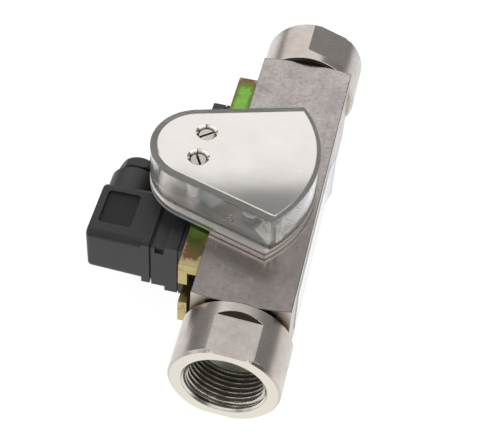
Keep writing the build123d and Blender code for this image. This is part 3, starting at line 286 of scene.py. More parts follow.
def weigh(tree, share, first, second):
    """Two masks added: the second by its share, the first by the rest."""
    rest = minus(tree, 1.0, share)
    return calculate(tree, "ADD", times(tree, first, rest), times(tree, second, share))


def spread(tree, value, low, high, new_low=0.0, new_high=1.0):
    """Map a value from one range to another."""
    node = tree.nodes.new("ShaderNodeMapRange")
    node.clamp = True
    return feed_in_order(tree, node, (value, low, high, new_low, new_high))[0]


def rgba(colour, factor=1.0):
    """A colour with alpha, brighter or darker by a factor."""
    return (*[c * factor for c in colour[:3]], 1.0)


def blend_colours(tree, share, first, second, mode="MIX"):
    """Mix two colours by a share."""
    node = tree.nodes.new("ShaderNodeMix")
    node.data_type = "RGBA"
    node.blend_type = mode
    feed(tree, node.inputs[0], share)
    for socket, colour in ((node.inputs[6], first), (node.inputs[7], second)):
        feed(tree, socket, rgba(colour) if isinstance(colour, tuple) else colour)
    return node.outputs[2]


def tint(tree, colour, stain):
    """A colour multiplied by a stain."""
    return blend_colours(tree, 1.0, colour, stain, "MULTIPLY")


def mix_shaders(tree, share, first, second):
    """Mix two shaders by a share."""
    node = tree.nodes.new("ShaderNodeMixShader")
    return feed_in_order(tree, node, (share, first, second))[0]


def separate(tree, vector):
    """X, Y and Z of a vector."""
    return place(tree, "ShaderNodeSeparateXYZ", Vector=vector)


def object_place(tree):
    """Where a point lies in its object's frame."""
    return place(tree, "ShaderNodeTexCoord")["Object"]


def facing(tree):
    """The way a point's surface faces."""
    return place(tree, "ShaderNodeNewGeometry")["Normal"]


def noise(tree, where, scale, detail, roughness=0.5):
    """One noise texture's value."""
    return place(tree, "ShaderNodeTexNoise", Vector=where, Scale=scale, Detail=detail,
                 Roughness=roughness)["Fac"]


def full_noise(tree, *values):
    """Noise widened to run from nought to one."""
    return spread(tree, noise(tree, *values), 0.3, 0.7)


def new_group(name, inputs, outputs=("Mask",)):
    """An empty shader group: its tree, what is given to it, and the node that takes its results."""
    tree = bpy.data.node_groups.new(name, "ShaderNodeTree")
    for socket, value in inputs.items():
        kind = "NodeSocketVector" if isinstance(value, tuple) else "NodeSocketFloat"
        tree.interface.new_socket(socket, in_out="INPUT", socket_type=kind).default_value = value
    for socket in outputs:
        kind = "NodeSocketVector" if socket == "Normal" else "NodeSocketFloat"
        tree.interface.new_socket(socket, in_out="OUTPUT", socket_type=kind)
    return tree, place(tree, "NodeGroupInput"), tree.nodes.new("NodeGroupOutput")


def use_group(tree, name, **inputs):
    """Place a group in a material with its own values."""
    node = tree.nodes.new("ShaderNodeGroup")
    node.node_tree = bpy.data.node_groups[name]
    connect(tree, node, **inputs)
    return node.outputs


# Shared effects

def build_rounded_edges():
    """Rounded normals at the edges, and a mask of where they are."""
    tree, given, result = new_group("rounded_edges", {"Radius": 0.0004, "Gain": 5.0}, ("Mask", "Normal"))
    rounded = place(tree, "ShaderNodeBevel", {"samples": 4}, Radius=given["Radius"])["Normal"]
    likeness = calculate_vector(tree, "DOT_PRODUCT", rounded, facing(tree))["Value"]
    turned = minus(tree, 1.0, likeness)
    mask = calculate(tree, "MULTIPLY", turned, given["Gain"], clamp=True)
    connect(tree, result, Mask=mask, Normal=rounded)


def build_mottle():
    """Soft cloudy patches with finer specks on top."""
    sizes = {"Patch Scale": 180.0, "Speck Scale": 1500.0, "Speck Share": 0.4}
    tree, given, result = new_group("mottle", sizes)
    where = object_place(tree)
    patch = full_noise(tree, where, given["Patch Scale"], 6.0, 0.62)
    speck = full_noise(tree, where, given["Speck Scale"], 2.0, 0.6)
    connect(tree, result, Mask=weigh(tree, given["Speck Share"], patch, speck))


def build_streaks():
    """Fine parallel lines, drawn out by unequal scales along X, Y and Z."""
    tree, given, result = new_group("streaks", {"Stretch": (2500.0, 60.0, 2500.0)})
    drawn = calculate_vector(tree, "MULTIPLY", object_place(tree), given["Stretch"])["Vector"]
    connect(tree, result, Mask=full_noise(tree, drawn, 1.0, 3.0, 0.6))


def build_turning():
    """Tool marks of a lathe: rings across the flow axis."""
    tree, given, result = new_group("turning", {"Fineness": 4500.0})
    x, y, z = separate(tree, object_place(tree))
    along = times(tree, y, given["Fineness"])
    across = times(tree, distance_from_axis(tree, x, z), given["Fineness"])
    where = place(tree, "ShaderNodeCombineXYZ", X=along, Y=across)["Vector"]
    connect(tree, result, Mask=full_noise(tree, where, 1.0, 2.0))


def build_inner_wall():
    """Mask of the clear wall's milled inner sides, found from the pivot and the sector's outline."""
    outline = {"Pivot": (0.0, 0.0, 0.0), "Lean": 0.301, "Side": 0.0182, "Arc": 0.046, "Narrow End": -0.005}
    tree, given, result = new_group("inner_wall", outline)
    from_pivot = calculate_vector(tree, "SUBTRACT", object_place(tree), given["Pivot"])["Vector"]
    x, y = separate(tree, from_pivot)[:2]
    radius = distance_from_axis(tree, x, y)
    across = times(tree, calculate(tree, "ABSOLUTE", y), calculate(tree, "COSINE", given["Lean"]))
    side = minus(tree, across, times(tree, x, calculate(tree, "SINE", given["Lean"])))
    round_end = times(tree, radius, below(tree, x, given["Narrow End"]))
    inner = below(tree, greatest(tree, side, round_end), given["Side"])
    short = below(tree, radius, given["Arc"])
    connect(tree, result, Mask=times(tree, inner, short))


def build_grain():
    """Fine spark-eroded grain of a moulding."""
    tree, given, result = new_group("grain", {"Scale": 3000.0}, ("Height",))
    connect(tree, result, Height=noise(tree, object_place(tree), given["Scale"], 2.0, 0.7))


def clouds(tree, patch, speck, share):
    """The mottle group's mask."""
    return use_group(tree, "mottle", Patch_Scale=patch, Speck_Scale=speck, Speck_Share=share)["Mask"]


def streaks(tree, stretch):
    """The streaks group's mask."""
    return use_group(tree, "streaks", Stretch=stretch)["Mask"]


def grain(tree, scale):
    """The grain group's height."""
    return use_group(tree, "grain", Scale=scale)["Height"]


def rounded_edges(tree, radius, gain):
    """The rounded edges' mask and normal, used among others for painted edge highlights and painted edge
    shade.
    """
    edge_result = use_group(tree, "rounded_edges", Radius=radius, Gain=gain)
    return edge_result["Mask"], edge_result["Normal"]


# Finishes

def start_material(name, metallic, roughness):
    """A material with only its Principled shader."""
    material = bpy.data.materials.new(name)
    material.use_nodes = True
    tree = material.node_tree
    shader = tree.nodes["Principled BSDF"]
    connect(tree, shader, Metallic=metallic, Roughness=roughness)
    return material, tree, shader


def reopen_material(material):
    """A material's tree, shader and colour so far, to add to them."""
    tree = material.node_tree
    shader = tree.nodes["Principled BSDF"]
    return tree, shader, shader.inputs["Base Color"].links[0].from_socket


def raise_surface(tree, shader, height, strength, distance, normal=None):
    """Bump from a height, over an optional normal."""
    bump = tree.nodes.new("ShaderNodeBump")
    connect(tree, bump, Strength=strength, Distance=distance, Height=height)
    if normal is not None:
        connect(tree, bump, Normal=normal)
    connect(tree, shader, Normal=bump.outputs["Normal"])


def ground_metal(name, colour, roughness):
    """Plated metal with clouds, warm stains, fine pits, and edges painted near-black as painted shade."""
    warm, cool, contrast = (1.0, 0.965, 0.915), (1.0, 0.98, 0.985), 0.34
    material, tree, shader = start_material(name, 1.0, roughness)
    share = weigh(tree, 0.18, clouds(tree, patch=95.0, speck=620.0, share=0.42),
                  streaks(tree, (420.0, 70.0, 420.0)))
    stain = clouds(tree, patch=70.0, speck=190.0, share=0.4)
    pitted = spread(tree, grain(tree, 780.0), 0.58, 0.72, 0.0, 0.34)
    edge, normal = rounded_edges(tree, radius=0.0007, gain=9.0)
    body = blend_colours(tree, share, rgba(colour, 1.0 - contrast), rgba(colour, 1.0 + contrast))
    body = blend_colours(tree, stain, tint(tree, body, cool), tint(tree, body, warm))
    body = blend_colours(tree, pitted, body, rgba(colour, 0.35))
    # Painted shade: the edges are painted near-black.
    connect(tree, shader, Base_Color=blend_colours(tree, edge, body, rgba(colour, 0.09)),
            Roughness=spread(tree, share, 0.0, 1.0, roughness + 0.10, roughness - 0.05))
    raise_surface(tree, shader, minus(tree, share, pitted), strength=0.10,
                  distance=0.00003, normal=normal)
    return material


def block_metal(name, colour, roughness):
    """The block's ground metal, with painted shade and painted reflection on the turned cones, brown inside
    and tan further out, and painted shade darkening the inlet end.
    """
    # The brown and tan here are painted shade and painted reflection on the cones; the third colour is
    # painted shade for the inlet end.
    brown, tan, painted_near_shade = (0.10, 0.08, 0.055), (0.60, 0.54, 0.45), (0.76, 0.75, 0.735)
    cone_depth, cone_band, end_slope, near_shade_length = 0.006, (0.0215, 0.0275), 0.6, 0.075
    material = ground_metal(name, colour, roughness)
    tree, shader, source = reopen_material(material)
    low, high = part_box("meter_block")
    x, y, z = separate(tree, object_place(tree))
    endward = calculate(tree, "ABSOLUTE", separate(tree, facing(tree))["Y"])
    on_cone = times(tree, above(tree, endward, end_slope),
                    below(tree, from_ends(tree, y, low.y, high.y), cone_depth))
    # Painted reflection and painted shade on the cones: brown near the fitting, tan further out.
    painted_cone_light = blend_colours(tree, spread(tree, distance_from_axis(tree, x, z), *cone_band), brown, tan)
    # Painted shade: the block darkens towards its inlet end.
    past_near_shade = spread(tree, y, low.y, low.y + near_shade_length)
    skin = blend_colours(tree, past_near_shade, tint(tree, source, painted_near_shade), source)
    connect(tree, shader, Base_Color=blend_colours(tree, on_cone, skin, painted_cone_light))
    return material


def turned_metal(name, colour, roughness, edge_radius=0.00025):
    """Bare or plated metal from a lathe, with faint rings."""
    dusky = (0.80, 0.76, 0.77)
    material, tree, shader = start_material(name, 1.0, roughness)
    rings = use_group(tree, "turning", Fineness=1600.0)["Mask"]
    share = weigh(tree, 0.35, clouds(tree, patch=120.0, speck=500.0, share=0.3), rings)
    stain = clouds(tree, patch=75.0, speck=240.0, share=0.35)
    edge, normal = rounded_edges(tree, edge_radius, gain=20.0)
    body = blend_colours(tree, share, rgba(colour, 0.90), rgba(colour, 1.06))
    body = blend_colours(tree, stain, tint(tree, body, dusky), body)
    # Painted highlight: the edges are painted lighter.
    connect(tree, shader, Base_Color=blend_colours(tree, edge, body, rgba(colour, 1.4)),
            Roughness=spread(tree, share, 0.0, 1.0, roughness + 0.06, roughness - 0.04))
    raise_surface(tree, shader, rings, strength=0.05, distance=0.00001, normal=normal)
    return material


def fitting_metal(name, colour, roughness, sizes):
    """Turned metal with a cream mouth, shoulders painted near-black as a painted dark reflection and the gap
    by the block as painted shadow, and a thread with painted highlights on its crests that darkens with depth
    as painted shade.
    """
    cream, shade = (0.80, 0.755, 0.66), (0.035, 0.028, 0.024)
    # Root and first groove are painted shade; crest is a painted highlight.
    root, crest, painted_groove_shade = (0.17, 0.145, 0.105), (0.94, 0.90, 0.80), (0.10, 0.088, 0.066)
    slope_start, shoulder_reach = sizes.flat_end + 0.00005, (0.0203, 0.02248)
    gap_depth, gap_reach = (0.0238, 0.0252), (0.0170, 0.0224)
    mouth_depth, mouth_reach = (-0.001, 0.00004), (0.0150, 0.0224)
    port_depth, port_reach = (0.0004, 0.02), (0.0, 0.01695)
    crest_reach, crest_depth, mouth_light = (0.0152, 0.0160), (0.001, 0.012), (0.0012, 0.0065)
    groove_depth, groove_radius = (0.0010, 0.0017), 0.0153
    material = turned_metal(name, colour, roughness)
    tree, shader, source = reopen_material(material)
    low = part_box("inlet_fitting")[0].y
    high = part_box("outlet_fitting")[1].y
    x, y, z = separate(tree, object_place(tree))
    outward = distance_from_axis(tree, x, z)
    depth = from_ends(tree, y, low, high)
    from_inlet = minus(tree, y, low)
    slope = within(tree, from_inlet, slope_start, sizes.flat_end + sizes.run_out)
    shoulder = times(tree, slope, within(tree, outward, *shoulder_reach))
    gap = times(tree, within(tree, depth, *gap_depth), within(tree, outward, *gap_reach),
                above(tree, z, SPIGOT_RADIUS))
    mouth = times(tree, within(tree, depth, *mouth_depth), within(tree, outward, *mouth_reach))
    skin = blend_colours(tree, mouth, source, cream)
    # Painted dark reflection on the shoulder slopes and painted shadow in the gap by the block, both
    # near-black.
    skin = blend_colours(tree, greatest(tree, shoulder, gap), skin, shade)
    # Painted highlight on the thread's crests and near the mouth, painted shade in its roots and deeper in.
    on_crest = times(tree, spread(tree, outward, *crest_reach, 1.0, 0.0),
                     spread(tree, depth, *crest_depth, 1.0, 0.28))
    lit = greatest(tree, on_crest, spread(tree, depth, *mouth_light, 0.8, 0.0))
    wall = blend_colours(tree, lit, root, crest)
    in_groove = times(tree, within(tree, depth, *groove_depth),
                      above(tree, outward, groove_radius))
    # Painted shade in the first groove.
    wall = blend_colours(tree, in_groove, wall, painted_groove_shade)
    inside = times(tree, within(tree, outward, *port_reach), within(tree, depth, *port_depth))
    # The port's wall is made less metallic where its painted shade is deep.
    painted_shade_dullness = times(tree, inside, spread(tree, lit, 0.0, 0.6, 0.6, 0.0))
    connect(tree, shader, Base_Color=blend_colours(tree, inside, skin, wall),
            Metallic=minus(tree, 1.0, painted_shade_dullness))
    return material


def satin_metal(name, colour, roughness):
    """Smooth satin sheet with faint smudges and its cut edges painted near-white as a painted highlight."""
    bright = (0.95, 0.93, 0.91)
    material, tree, shader = start_material(name, 1.0, roughness)
    share = weigh(tree, 0.25, clouds(tree, patch=70.0, speck=1800.0, share=0.25),
                  streaks(tree, (160.0, 2600.0, 160.0)))
    edge, normal = rounded_edges(tree, radius=0.0003, gain=4.0)
    body = blend_colours(tree, share, rgba(colour, 0.95), rgba(colour, 1.04))
    # Painted highlight: the edges are painted near-white.
    connect(tree, shader, Base_Color=blend_colours(tree, edge, body, bright),
            Roughness=spread(tree, share, 0.0, 1.0, roughness + 0.03, roughness - 0.02))
    raise_surface(tree, shader, share, strength=0.04, distance=0.00001, normal=normal)
    return material


def face_metal(name, colour, roughness, top):
    """The face plate's satin, with painted shade deepening down the screws' countersinks."""
    painted_sink_shade, pale = (0.07, 0.06, 0.05), (0.80, 0.77, 0.72)
    sink_depth, sink_start = 0.0012, 0.0004
    material = satin_metal(name, colour, roughness)
    tree, shader, source = reopen_material(material)
    height = separate(tree, object_place(tree))["Z"]
    sloping = below(tree, separate(tree, facing(tree))["Z"], 0.8)
    # Painted shade: sloping faces darken towards the countersinks' bottoms and are paler at their tops.
    tone = blend_colours(tree, spread(tree, height, top - sink_depth, top - sink_start), painted_sink_shade, pale)
    connect(tree, shader, Base_Color=blend_colours(tree, sloping, source, tone))
    return material


def slotted_metal(name, colour, roughness, top):
    """Bright screw heads whose slots and flanks fall off into shade."""
    shade, slot_depth, slot_start = (0.03, 0.026, 0.022), 0.0005, 0.00012
    material = turned_metal(name, colour, roughness, edge_radius=0.0002)
    tree, shader, source = reopen_material(material)
    height = separate(tree, object_place(tree))["Z"]
    sunk = spread(tree, height, top - slot_depth, top - slot_start, 1.0, 0.0)
    connect(tree, shader, Base_Color=blend_colours(tree, sunk, source, shade))
    return material


def chromate_film(name, colour):
    """Yellow chromate: tan at the ends and borders, brown where it turns, green between."""
    olive, dark_edge = (0.075, 0.085, 0.022), (0.16, 0.13, 0.07)
    stops = (
        (0.00, rgba(colour)),
        (0.12, (0.52, 0.36, 0.20, 1.0)),
        (0.24, (0.20, 0.10, 0.065, 1.0)),
        (0.42, (0.20, 0.17, 0.055, 1.0)),
        (0.66, (0.15, 0.27, 0.045, 1.0)),
        (1.00, (0.24, 0.52, 0.085, 1.0)),
    )
    near_end, far_end, far_share = 0.020, 0.009, 0.3
    border_width, border_share, swing_share = 0.0022, 0.42, 0.60
    dull_start, dull_end, dull_share = 0.012, 0.055, 0.75
    material, tree, shader = start_material(name, metallic=0.85, roughness=0.36)
    low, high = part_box("upper_rail")
    x, y = separate(tree, object_place(tree))[:2]
    near = spread(tree, y, low.y, low.y + near_end)
    far = spread(tree, y, high.y - far_end, high.y, 1.0, far_share)
    border = spread(tree, from_ends(tree, x, low.x, high.x), 0.0, border_width, border_share, 1.0)
    cloud = clouds(tree, patch=150.0, speck=800.0, share=0.3)
    swing = times(tree, minus(tree, cloud, 0.5), swing_share)
    film = calculate(tree, "ADD", times(tree, near, far, border), swing, clamp=True)
    ramp = tree.nodes.new("ShaderNodeValToRGB")
    connect(tree, ramp, Fac=film)
    while len(ramp.color_ramp.elements) < len(stops):
        ramp.color_ramp.elements.new(0.5)
    for element, (spot, tone) in zip(ramp.color_ramp.elements, stops):
        element.position = spot
        element.color = tone
    dull = times(tree, spread(tree, y, low.y + dull_start, low.y + dull_end, dull_share, 0.0),
                 spread(tree, film, 0.3, 0.6))
    edge, normal = rounded_edges(tree, radius=0.0003, gain=4.0)
    body = blend_colours(tree, dull, ramp.outputs["Color"], olive)
    connect(tree, shader, Base_Color=blend_colours(tree, edge, body, dark_edge))
    raise_surface(tree, shader, cloud, strength=0.10, distance=0.00002, normal=normal)
    return material


def moulded_plastic(name, colour, roughness, grain_scale=2600.0, edge_radius=0.0005, edge_tone_factor=1.7):
    """Dark moulding with fine grain, its edges painted lighter or darker by a factor; darker edges are
    painted shade.
    """
    material, tree, shader = start_material(name, 0.0, roughness)
    cloud = clouds(tree, patch=110.0, speck=1600.0, share=0.5)
    edge, normal = rounded_edges(tree, edge_radius, gain=2.0)
    body = blend_colours(tree, cloud, rgba(colour, 0.86), rgba(colour, 1.16))
    # Edges painted lighter or darker by a factor; darker edges are painted shade.
    connect(tree, shader, Base_Color=blend_colours(tree, edge, body, rgba(colour, edge_tone_factor)), IOR=1.62,
            Roughness=spread(tree, cloud, 0.0, 1.0, roughness + 0.06, roughness - 0.05))
    raise_surface(tree, shader, grain(tree, grain_scale), strength=0.18, distance=0.00005, normal=normal)
    return material


def parted_plastic(name, colour, roughness):
    """The plug's moulding: a fine parting line, painted shade in its recess and along its edges, and duller
    upper faces.
    """
    parting_rise, body_end, body_length = 0.0012, 0.0035, 0.0277
    recess_depth, recess_start, recess_left, recess_right = 0.0030, 0.0007, 0.004, 0.006
    recess_roughness, bevel_roughness, top_roughness = 0.78, 0.75, 0.60
    # Painted shade: the plug's edges are painted darker.
    material = moulded_plastic(name, colour, roughness, edge_tone_factor=0.4)
    tree, shader, source = reopen_material(material)
    gloss = shader.inputs["Roughness"].links[0].from_socket
    low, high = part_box("plug_housing")
    x, y, z = separate(tree, object_place(tree))
    level = (low.z + high.z) / 2 + parting_rise
    away = calculate(tree, "ABSOLUTE", minus(tree, z, level))
    near_side = below(tree, y, low.y + body_length)
    parting = times(tree, spread(tree, away, 0.00008, 0.0002, 1.0, 0.0),
                    below(tree, x, high.x - body_end), near_side)
    body = blend_colours(tree, parting, source, rgba(colour, 0.25))
    upward = times(tree, near_side, separate(tree, facing(tree))["Z"])
    recess = times(tree, within(tree, z, high.z - recess_depth, high.z - recess_start),
                   within(tree, x, low.x + recess_left, high.x - recess_right),
                   above(tree, upward, 0.95))
    matt = greatest(tree, times(tree, recess, recess_roughness),
                    times(tree, within(tree, upward, 0.3, 0.96), bevel_roughness))
    matt = greatest(tree, matt, times(tree, spread(tree, upward, 0.9, 0.97), top_roughness))
    # Painted shade: the recess is painted darker.
    connect(tree, shader, Base_Color=blend_colours(tree, recess, body, rgba(colour, 0.35)),
            Roughness=greatest(tree, gloss, matt))
    return material


def clear_plastic(name):
    """Polished clear plastic, duller on its milled inner sides and its rim, that lets light through."""
    amber, clear = (0.955, 0.935, 0.915), (1.0, 0.99, 0.98)
    polished, milled, rim_roughness, rim_depth = 0.02, 0.11, 0.5, 0.0003
    material, tree, shader = start_material(name, 0.0, polished)
    connect(tree, shader, Transmission_Weight=0.95, IOR=1.53)
    cloud = clouds(tree, patch=60.0, speck=600.0, share=0.2)
    inner = use_group(tree, "inner_wall", Pivot=pointer_pivot())["Mask"]
    height = separate(tree, object_place(tree))["Z"]
    rim = above(tree, height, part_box("clear_ring")[1].z - rim_depth)
    connect(tree, shader, Base_Color=blend_colours(tree, cloud, amber, clear),
            Roughness=greatest(tree, spread(tree, inner, 0.0, 1.0, polished, milled),
                               times(tree, rim, rim_roughness)))
    shadow = place(tree, "ShaderNodeLightPath")["Is Shadow Ray"]
    passing = place(tree, "ShaderNodeBsdfTransparent", Color=(0.9, 0.9, 0.9, 1.0))["BSDF"]
    connect(tree, tree.nodes["Material Output"],
            Surface=mix_shaders(tree, shadow, shader.outputs["BSDF"], passing))
    return material


def tinted_glass(name, colour):
    """Drawn glass tube."""
    material, tree, shader = start_material(name, metallic=0.0, roughness=0.03)
    cloud = clouds(tree, patch=200.0, speck=900.0, share=0.3)
    connect(tree, shader, Transmission_Weight=0.9, IOR=1.5,
            Base_Color=blend_colours(tree, cloud, rgba(colour, 0.9), rgba(colour, 1.1)))
    return material


def painted_sheet(name, colour, roughness=0.55):
    """Matt paint or film with faint unevenness."""
    material, tree, shader = start_material(name, 0.0, roughness)
    cloud = clouds(tree, patch=150.0, speck=1500.0, share=0.4)
    connect(tree, shader, Base_Color=blend_colours(tree, cloud, rgba(colour, 0.94), rgba(colour, 1.05)))
    raise_surface(tree, shader, cloud, strength=0.08, distance=0.00003)
    return material


def soft_rubber(name):
    """Matt black rubber."""
    return moulded_plastic(name, (0.018, 0.018, 0.018), 0.72, grain_scale=3800.0, edge_radius=0.0003)


# Helpers for pieces

def pointer_pivot():
    """Middle of the pointer's axle."""
    low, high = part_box("pointer_axle")
    return (low + high) / 2


def finish_nodes(material, *names):
    """Give CAD nodes one material."""
    for name in names:
        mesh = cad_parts[name].data
        if mesh.materials:
            for i in range(len(mesh.materials)):
                mesh.materials[i] = material
        else:
            mesh.materials.append(material)


def add_object(name, data):
    """A new object in the scene."""
    item = bpy.data.objects.new(name, data)
    bpy.context.scene.collection.objects.link(item)
    return item


def new_piece(name, mesh_build, material, sharp=math.radians(32)):
    """A new object on the meter's body from a bmesh, with its material and slot."""
    bmesh.ops.recalc_face_normals(mesh_build, faces=mesh_build.faces)
    mesh = bpy.data.meshes.new(name)
    mesh_build.to_mesh(mesh)
    mesh_build.free()
    for face in mesh.polygons:
        face.use_smooth = True
    mesh.set_sharp_from_angle(angle=sharp)
    mesh.materials.append(material)
    piece = add_object(name, mesh)
    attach(piece, BODY)
    return piece


# Threaded fittings

def limit(value):
    """A value kept between nought and one."""
    return min(max(value, 0.0), 1.0)


def thread_radius(distance, angle, sizes, turn):
    """Radius of the port's wall: core bore, thread groove and countersink."""
    phase = distance / sizes.thread_pitch - turn * angle / (2 * math.pi)
    wave = 1 - abs(2 * (phase - math.floor(phase)) - 1)
    cut = limit((wave - THREAD_FLAT) / (1 - 2 * THREAD_FLAT))
    cut = cut * cut * (3 - 2 * cut)
    fade = limit((PORT_DEPTH - THREAD_STOP - distance) / THREAD_FADE)
    return max(MOUTH_RADIUS - distance, CORE_RADIUS + sizes.thread_depth * cut * fade)


def fitting_rows(sizes):
    """Rows of a fitting as (distance from the mouth, radius, kind), in a closed loop."""
    radius = sizes.radius
    rim = sizes.rim
    rows = [
        (0.0, radius - rim, "flat"),
        (rim, radius, "flat"),
        (sizes.flat_end, radius, "flat"),
        (sizes.flat_end, radius, "slope"),
        (COLLAR_END - rim, radius, "round"),
        (COLLAR_END, radius - rim, "round"),
        (COLLAR_END, SEAL_OUTER, "round"),
        (COLLAR_END - SEAL_DEPTH, SEAL_OUTER, "round"),
        (COLLAR_END - SEAL_DEPTH, SEAL_INNER, "round"),
        (COLLAR_END, SEAL_INNER, "round"),
        (COLLAR_END, SPIGOT_RADIUS, "round"),
        (SPIGOT_END - rim, SPIGOT_RADIUS, "round"),
        (SPIGOT_END, SPIGOT_RADIUS - rim, "round"),
        (SPIGOT_END, BORE_RADIUS, "round"),
        (BORE_START, BORE_RADIUS, "round"),
        (PORT_DEPTH, CORE_RADIUS, "round"),
    ]
    for i in range(THREAD_ROWS + 1):
        rows.append((PORT_DEPTH * (1 - i / THREAD_ROWS), 0.0, "thread"))
    return rows


def on_flat_end(first, second, corner, rim_corner):
    """Whether two neighbouring angles lie where a flat runs out in the rim's chamfer."""
    middle = ((first + second) / 2) % math.pi
    away = min(middle, math.pi - middle)
    return min(corner, rim_corner) < away < max(corner, rim_corner)


def build_fitting(name, mouth, inward, tilt, sizes, material):
    """One fitting as a lathe form with wrench flats and a real thread."""
    corner = math.acos(sizes.flat_distance / sizes.radius)
    rim_corner = math.acos(sizes.flat_distance / (sizes.radius - sizes.rim))
    angles = {round(2 * math.pi * i / RING_STEPS, 6) for i in range(RING_STEPS)}
    for flat in (0.0, math.pi):
        for shift in (-corner, -rim_corner, rim_corner, corner):
            angles.add(round((flat + shift) % (2 * math.pi), 6))
    angles = sorted(angles)
    build = bmesh.new()
    rings = []
    for distance, radius, kind in fitting_rows(sizes):
        ring = []
        for angle in angles:
            reach = radius
            spot = distance
            on_flat = min(radius, sizes.flat_distance / max(abs(math.cos(angle)), SMALLEST_COSINE))
            if kind == "flat":
                reach = on_flat
            if kind == "slope":
                spot += sizes.run_out * (radius - on_flat) / (radius - sizes.flat_distance)
            if kind == "thread":
                reach = thread_radius(distance, angle, sizes, inward)
            turned = angle + tilt
            ring.append(build.verts.new((reach * math.sin(turned), mouth + inward * spot,
                                         reach * math.cos(turned))))
        rings.append(ring)
    count = len(angles)
    for row, ring in enumerate(rings):
        after = rings[(row + 1) % len(rings)]
        for i in range(count):
            j = (i + 1) % count
            corners = (ring[i], ring[j], after[j], after[i])
            if row == 0 and on_flat_end(angles[i], angles[j], corner, rim_corner):
                rising = angles[i] % math.pi < math.pi / 2
                for triangle in ((0, 1, 2), (0, 2, 3)) if rising else ((0, 1, 3), (1, 2, 3)):
                    build.faces.new([corners[k] for k in triangle])
            else:
                build.faces.new(corners)
    bmesh.ops.remove_doubles(build, verts=build.verts, dist=WELD_DISTANCE)
    return new_piece(name, build, material, sharp=math.radians(14))


class FLOWMETER_OT_fittings(bpy.types.Operator):
    """Build both end fittings with their threads."""

    bl_idname = "flowmeter.fittings"
    bl_label = "Threaded Fittings"

    def execute(self, context):
        sizes = context.scene.flowmeter_fittings
        colours = context.scene.flowmeter_colours
        material = fitting_metal("turned_plated", colours.fitting, roughness=0.25, sizes=sizes)
        inlet_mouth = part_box("inlet_fitting")[0].y
        outlet_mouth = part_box("outlet_fitting")[1].y
        inlet = build_fitting("inlet_fitting_threaded", inlet_mouth, 1, sizes.inlet_tilt, sizes, material)
        outlet = build_fitting("outlet_fitting_threaded", outlet_mouth, -1, sizes.outlet_tilt, sizes,
                               material)
        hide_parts("inlet_fitting")
        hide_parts("outlet_fitting")
        return {"FINISHED"}


# Block and flow parts

def coiled_spring(material):
    """The return spring as a piece of its own, carried on the float's body."""
    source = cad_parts["return_spring"]
    piece = add_object("return_spring_coil", source.data.copy())
    piece.matrix_world = source.matrix_world.copy()
    piece.data.materials.clear()
    piece.data.materials.append(material)
    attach(piece, "float")
    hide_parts("return_spring")
    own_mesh(piece)


class FLOWMETER_OT_block(bpy.types.Operator):
    """Finish the block and everything in its bore."""

    bl_idname = "flowmeter.block"
    bl_label = "Block and Flow Parts"

    def execute(self, context):
        colours = context.scene.flowmeter_colours
        finish_nodes(block_metal("ground_plated", colours.block, roughness=0.21), "meter_block")
        finish_nodes(soft_rubber("seal_rubber"), "fitting_seals", "base_gasket", "plug_gasket", "gland_seal")
        brass = turned_metal("turned_brass", (0.66, 0.47, 0.20), roughness=0.28)
        finish_nodes(brass, "metering_sleeve", "inlet_guide", "outlet_guide", "float_body", "float_cap",
                     "pointer_hub", "axle_clip", "balance_weight")
        steel = turned_metal("plain_steel", (0.56, 0.55, 0.54), roughness=0.27, edge_radius=0.00015)
        coiled_spring(steel)
        finish_nodes(steel, "guide_rod", "rod_nuts", "return_spring", "rail_screws", "base_screws",
                     "pillar_screws", "spacer_pillars", "pointer_axle", "clamp_bar", "clamp_screws",
                     "case_screws", "plug_screw", "gland_washer", "contact_pins")
        coat = painted_sheet("magnet_coat", (0.05, 0.05, 0.055), roughness=0.4)
        finish_nodes(coat, "float_magnet", "pointer_magnet")
        return {"FINISHED"}


class FLOWMETER_OT_rails(bpy.types.Operator):
    """Give the two rails their chromate film."""

    bl_idname = "flowmeter.rails"
    bl_label = "Rails"

    def execute(self, context):
        colours = context.scene.flowmeter_colours
        finish_nodes(chromate_film("yellow_chromate", colours.chromate), "upper_rail", "lower_rail")
        return {"FINISHED"}


class FLOWMETER_OT_indicator(bpy.types.Operator):
    """Finish the base, tray, clear wall, face plate, scale plate and pointer."""

    bl_idname = "flowmeter.indicator"
    bl_label = "Indicator"

    def execute(self, context):
        colours = context.scene.flowmeter_colours
        tray = satin_metal("satin_tray", (0.86, 0.825, 0.795), roughness=0.38)
        finish_nodes(tray, "indicator_base", "indicator_frame")
        finish_nodes(clear_plastic("clear_wall"), "clear_ring")
        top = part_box("face_plate")[1].z
        finish_nodes(face_metal("satin_face", colours.plate, roughness=0.075, top=top), "face_plate")
        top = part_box("face_screws")[1].z
        bright = slotted_metal("bright_screw", (0.72, 0.69, 0.63), roughness=0.16, top=top)
        finish_nodes(bright, "face_screws")
        finish_nodes(painted_sheet("scale_white", (0.74, 0.74, 0.72)), "scale_plate")
        finish_nodes(painted_sheet("pointer_lacquer", (0.60, 0.59, 0.57), roughness=0.35), "pointer")
        return {"FINISHED"}


# Printed scale

def scale_turn(sizes, share):
    """Rotation about the pivot to a share of the scale's sweep."""
    return Matrix.Rotation(-sizes.sweep / 2 + sizes.sweep * share, 4, "Z")


def printed_marks(sizes, level):
    """Graduations round the scale as thin flat bars."""
    build = bmesh.new()
    small_steps = sizes.steps * MARKS_PER_STEP
    for i in range(small_steps + 1):
        length, width = SHORT_MARK if i % MARKS_PER_STEP else LONG_MARK
        bar = bmesh.ops.create_cube(build, size=1.0)
        size = Matrix.Diagonal((length, width, 2 * HALF_INK, 1.0))
        spot = Matrix.Translation((sizes.outer_radius - length / 2, 0, level))
        turn = scale_turn(sizes, i / small_steps)
        bmesh.ops.transform(build, matrix=turn @ spot @ size, verts=bar["verts"])
    return build


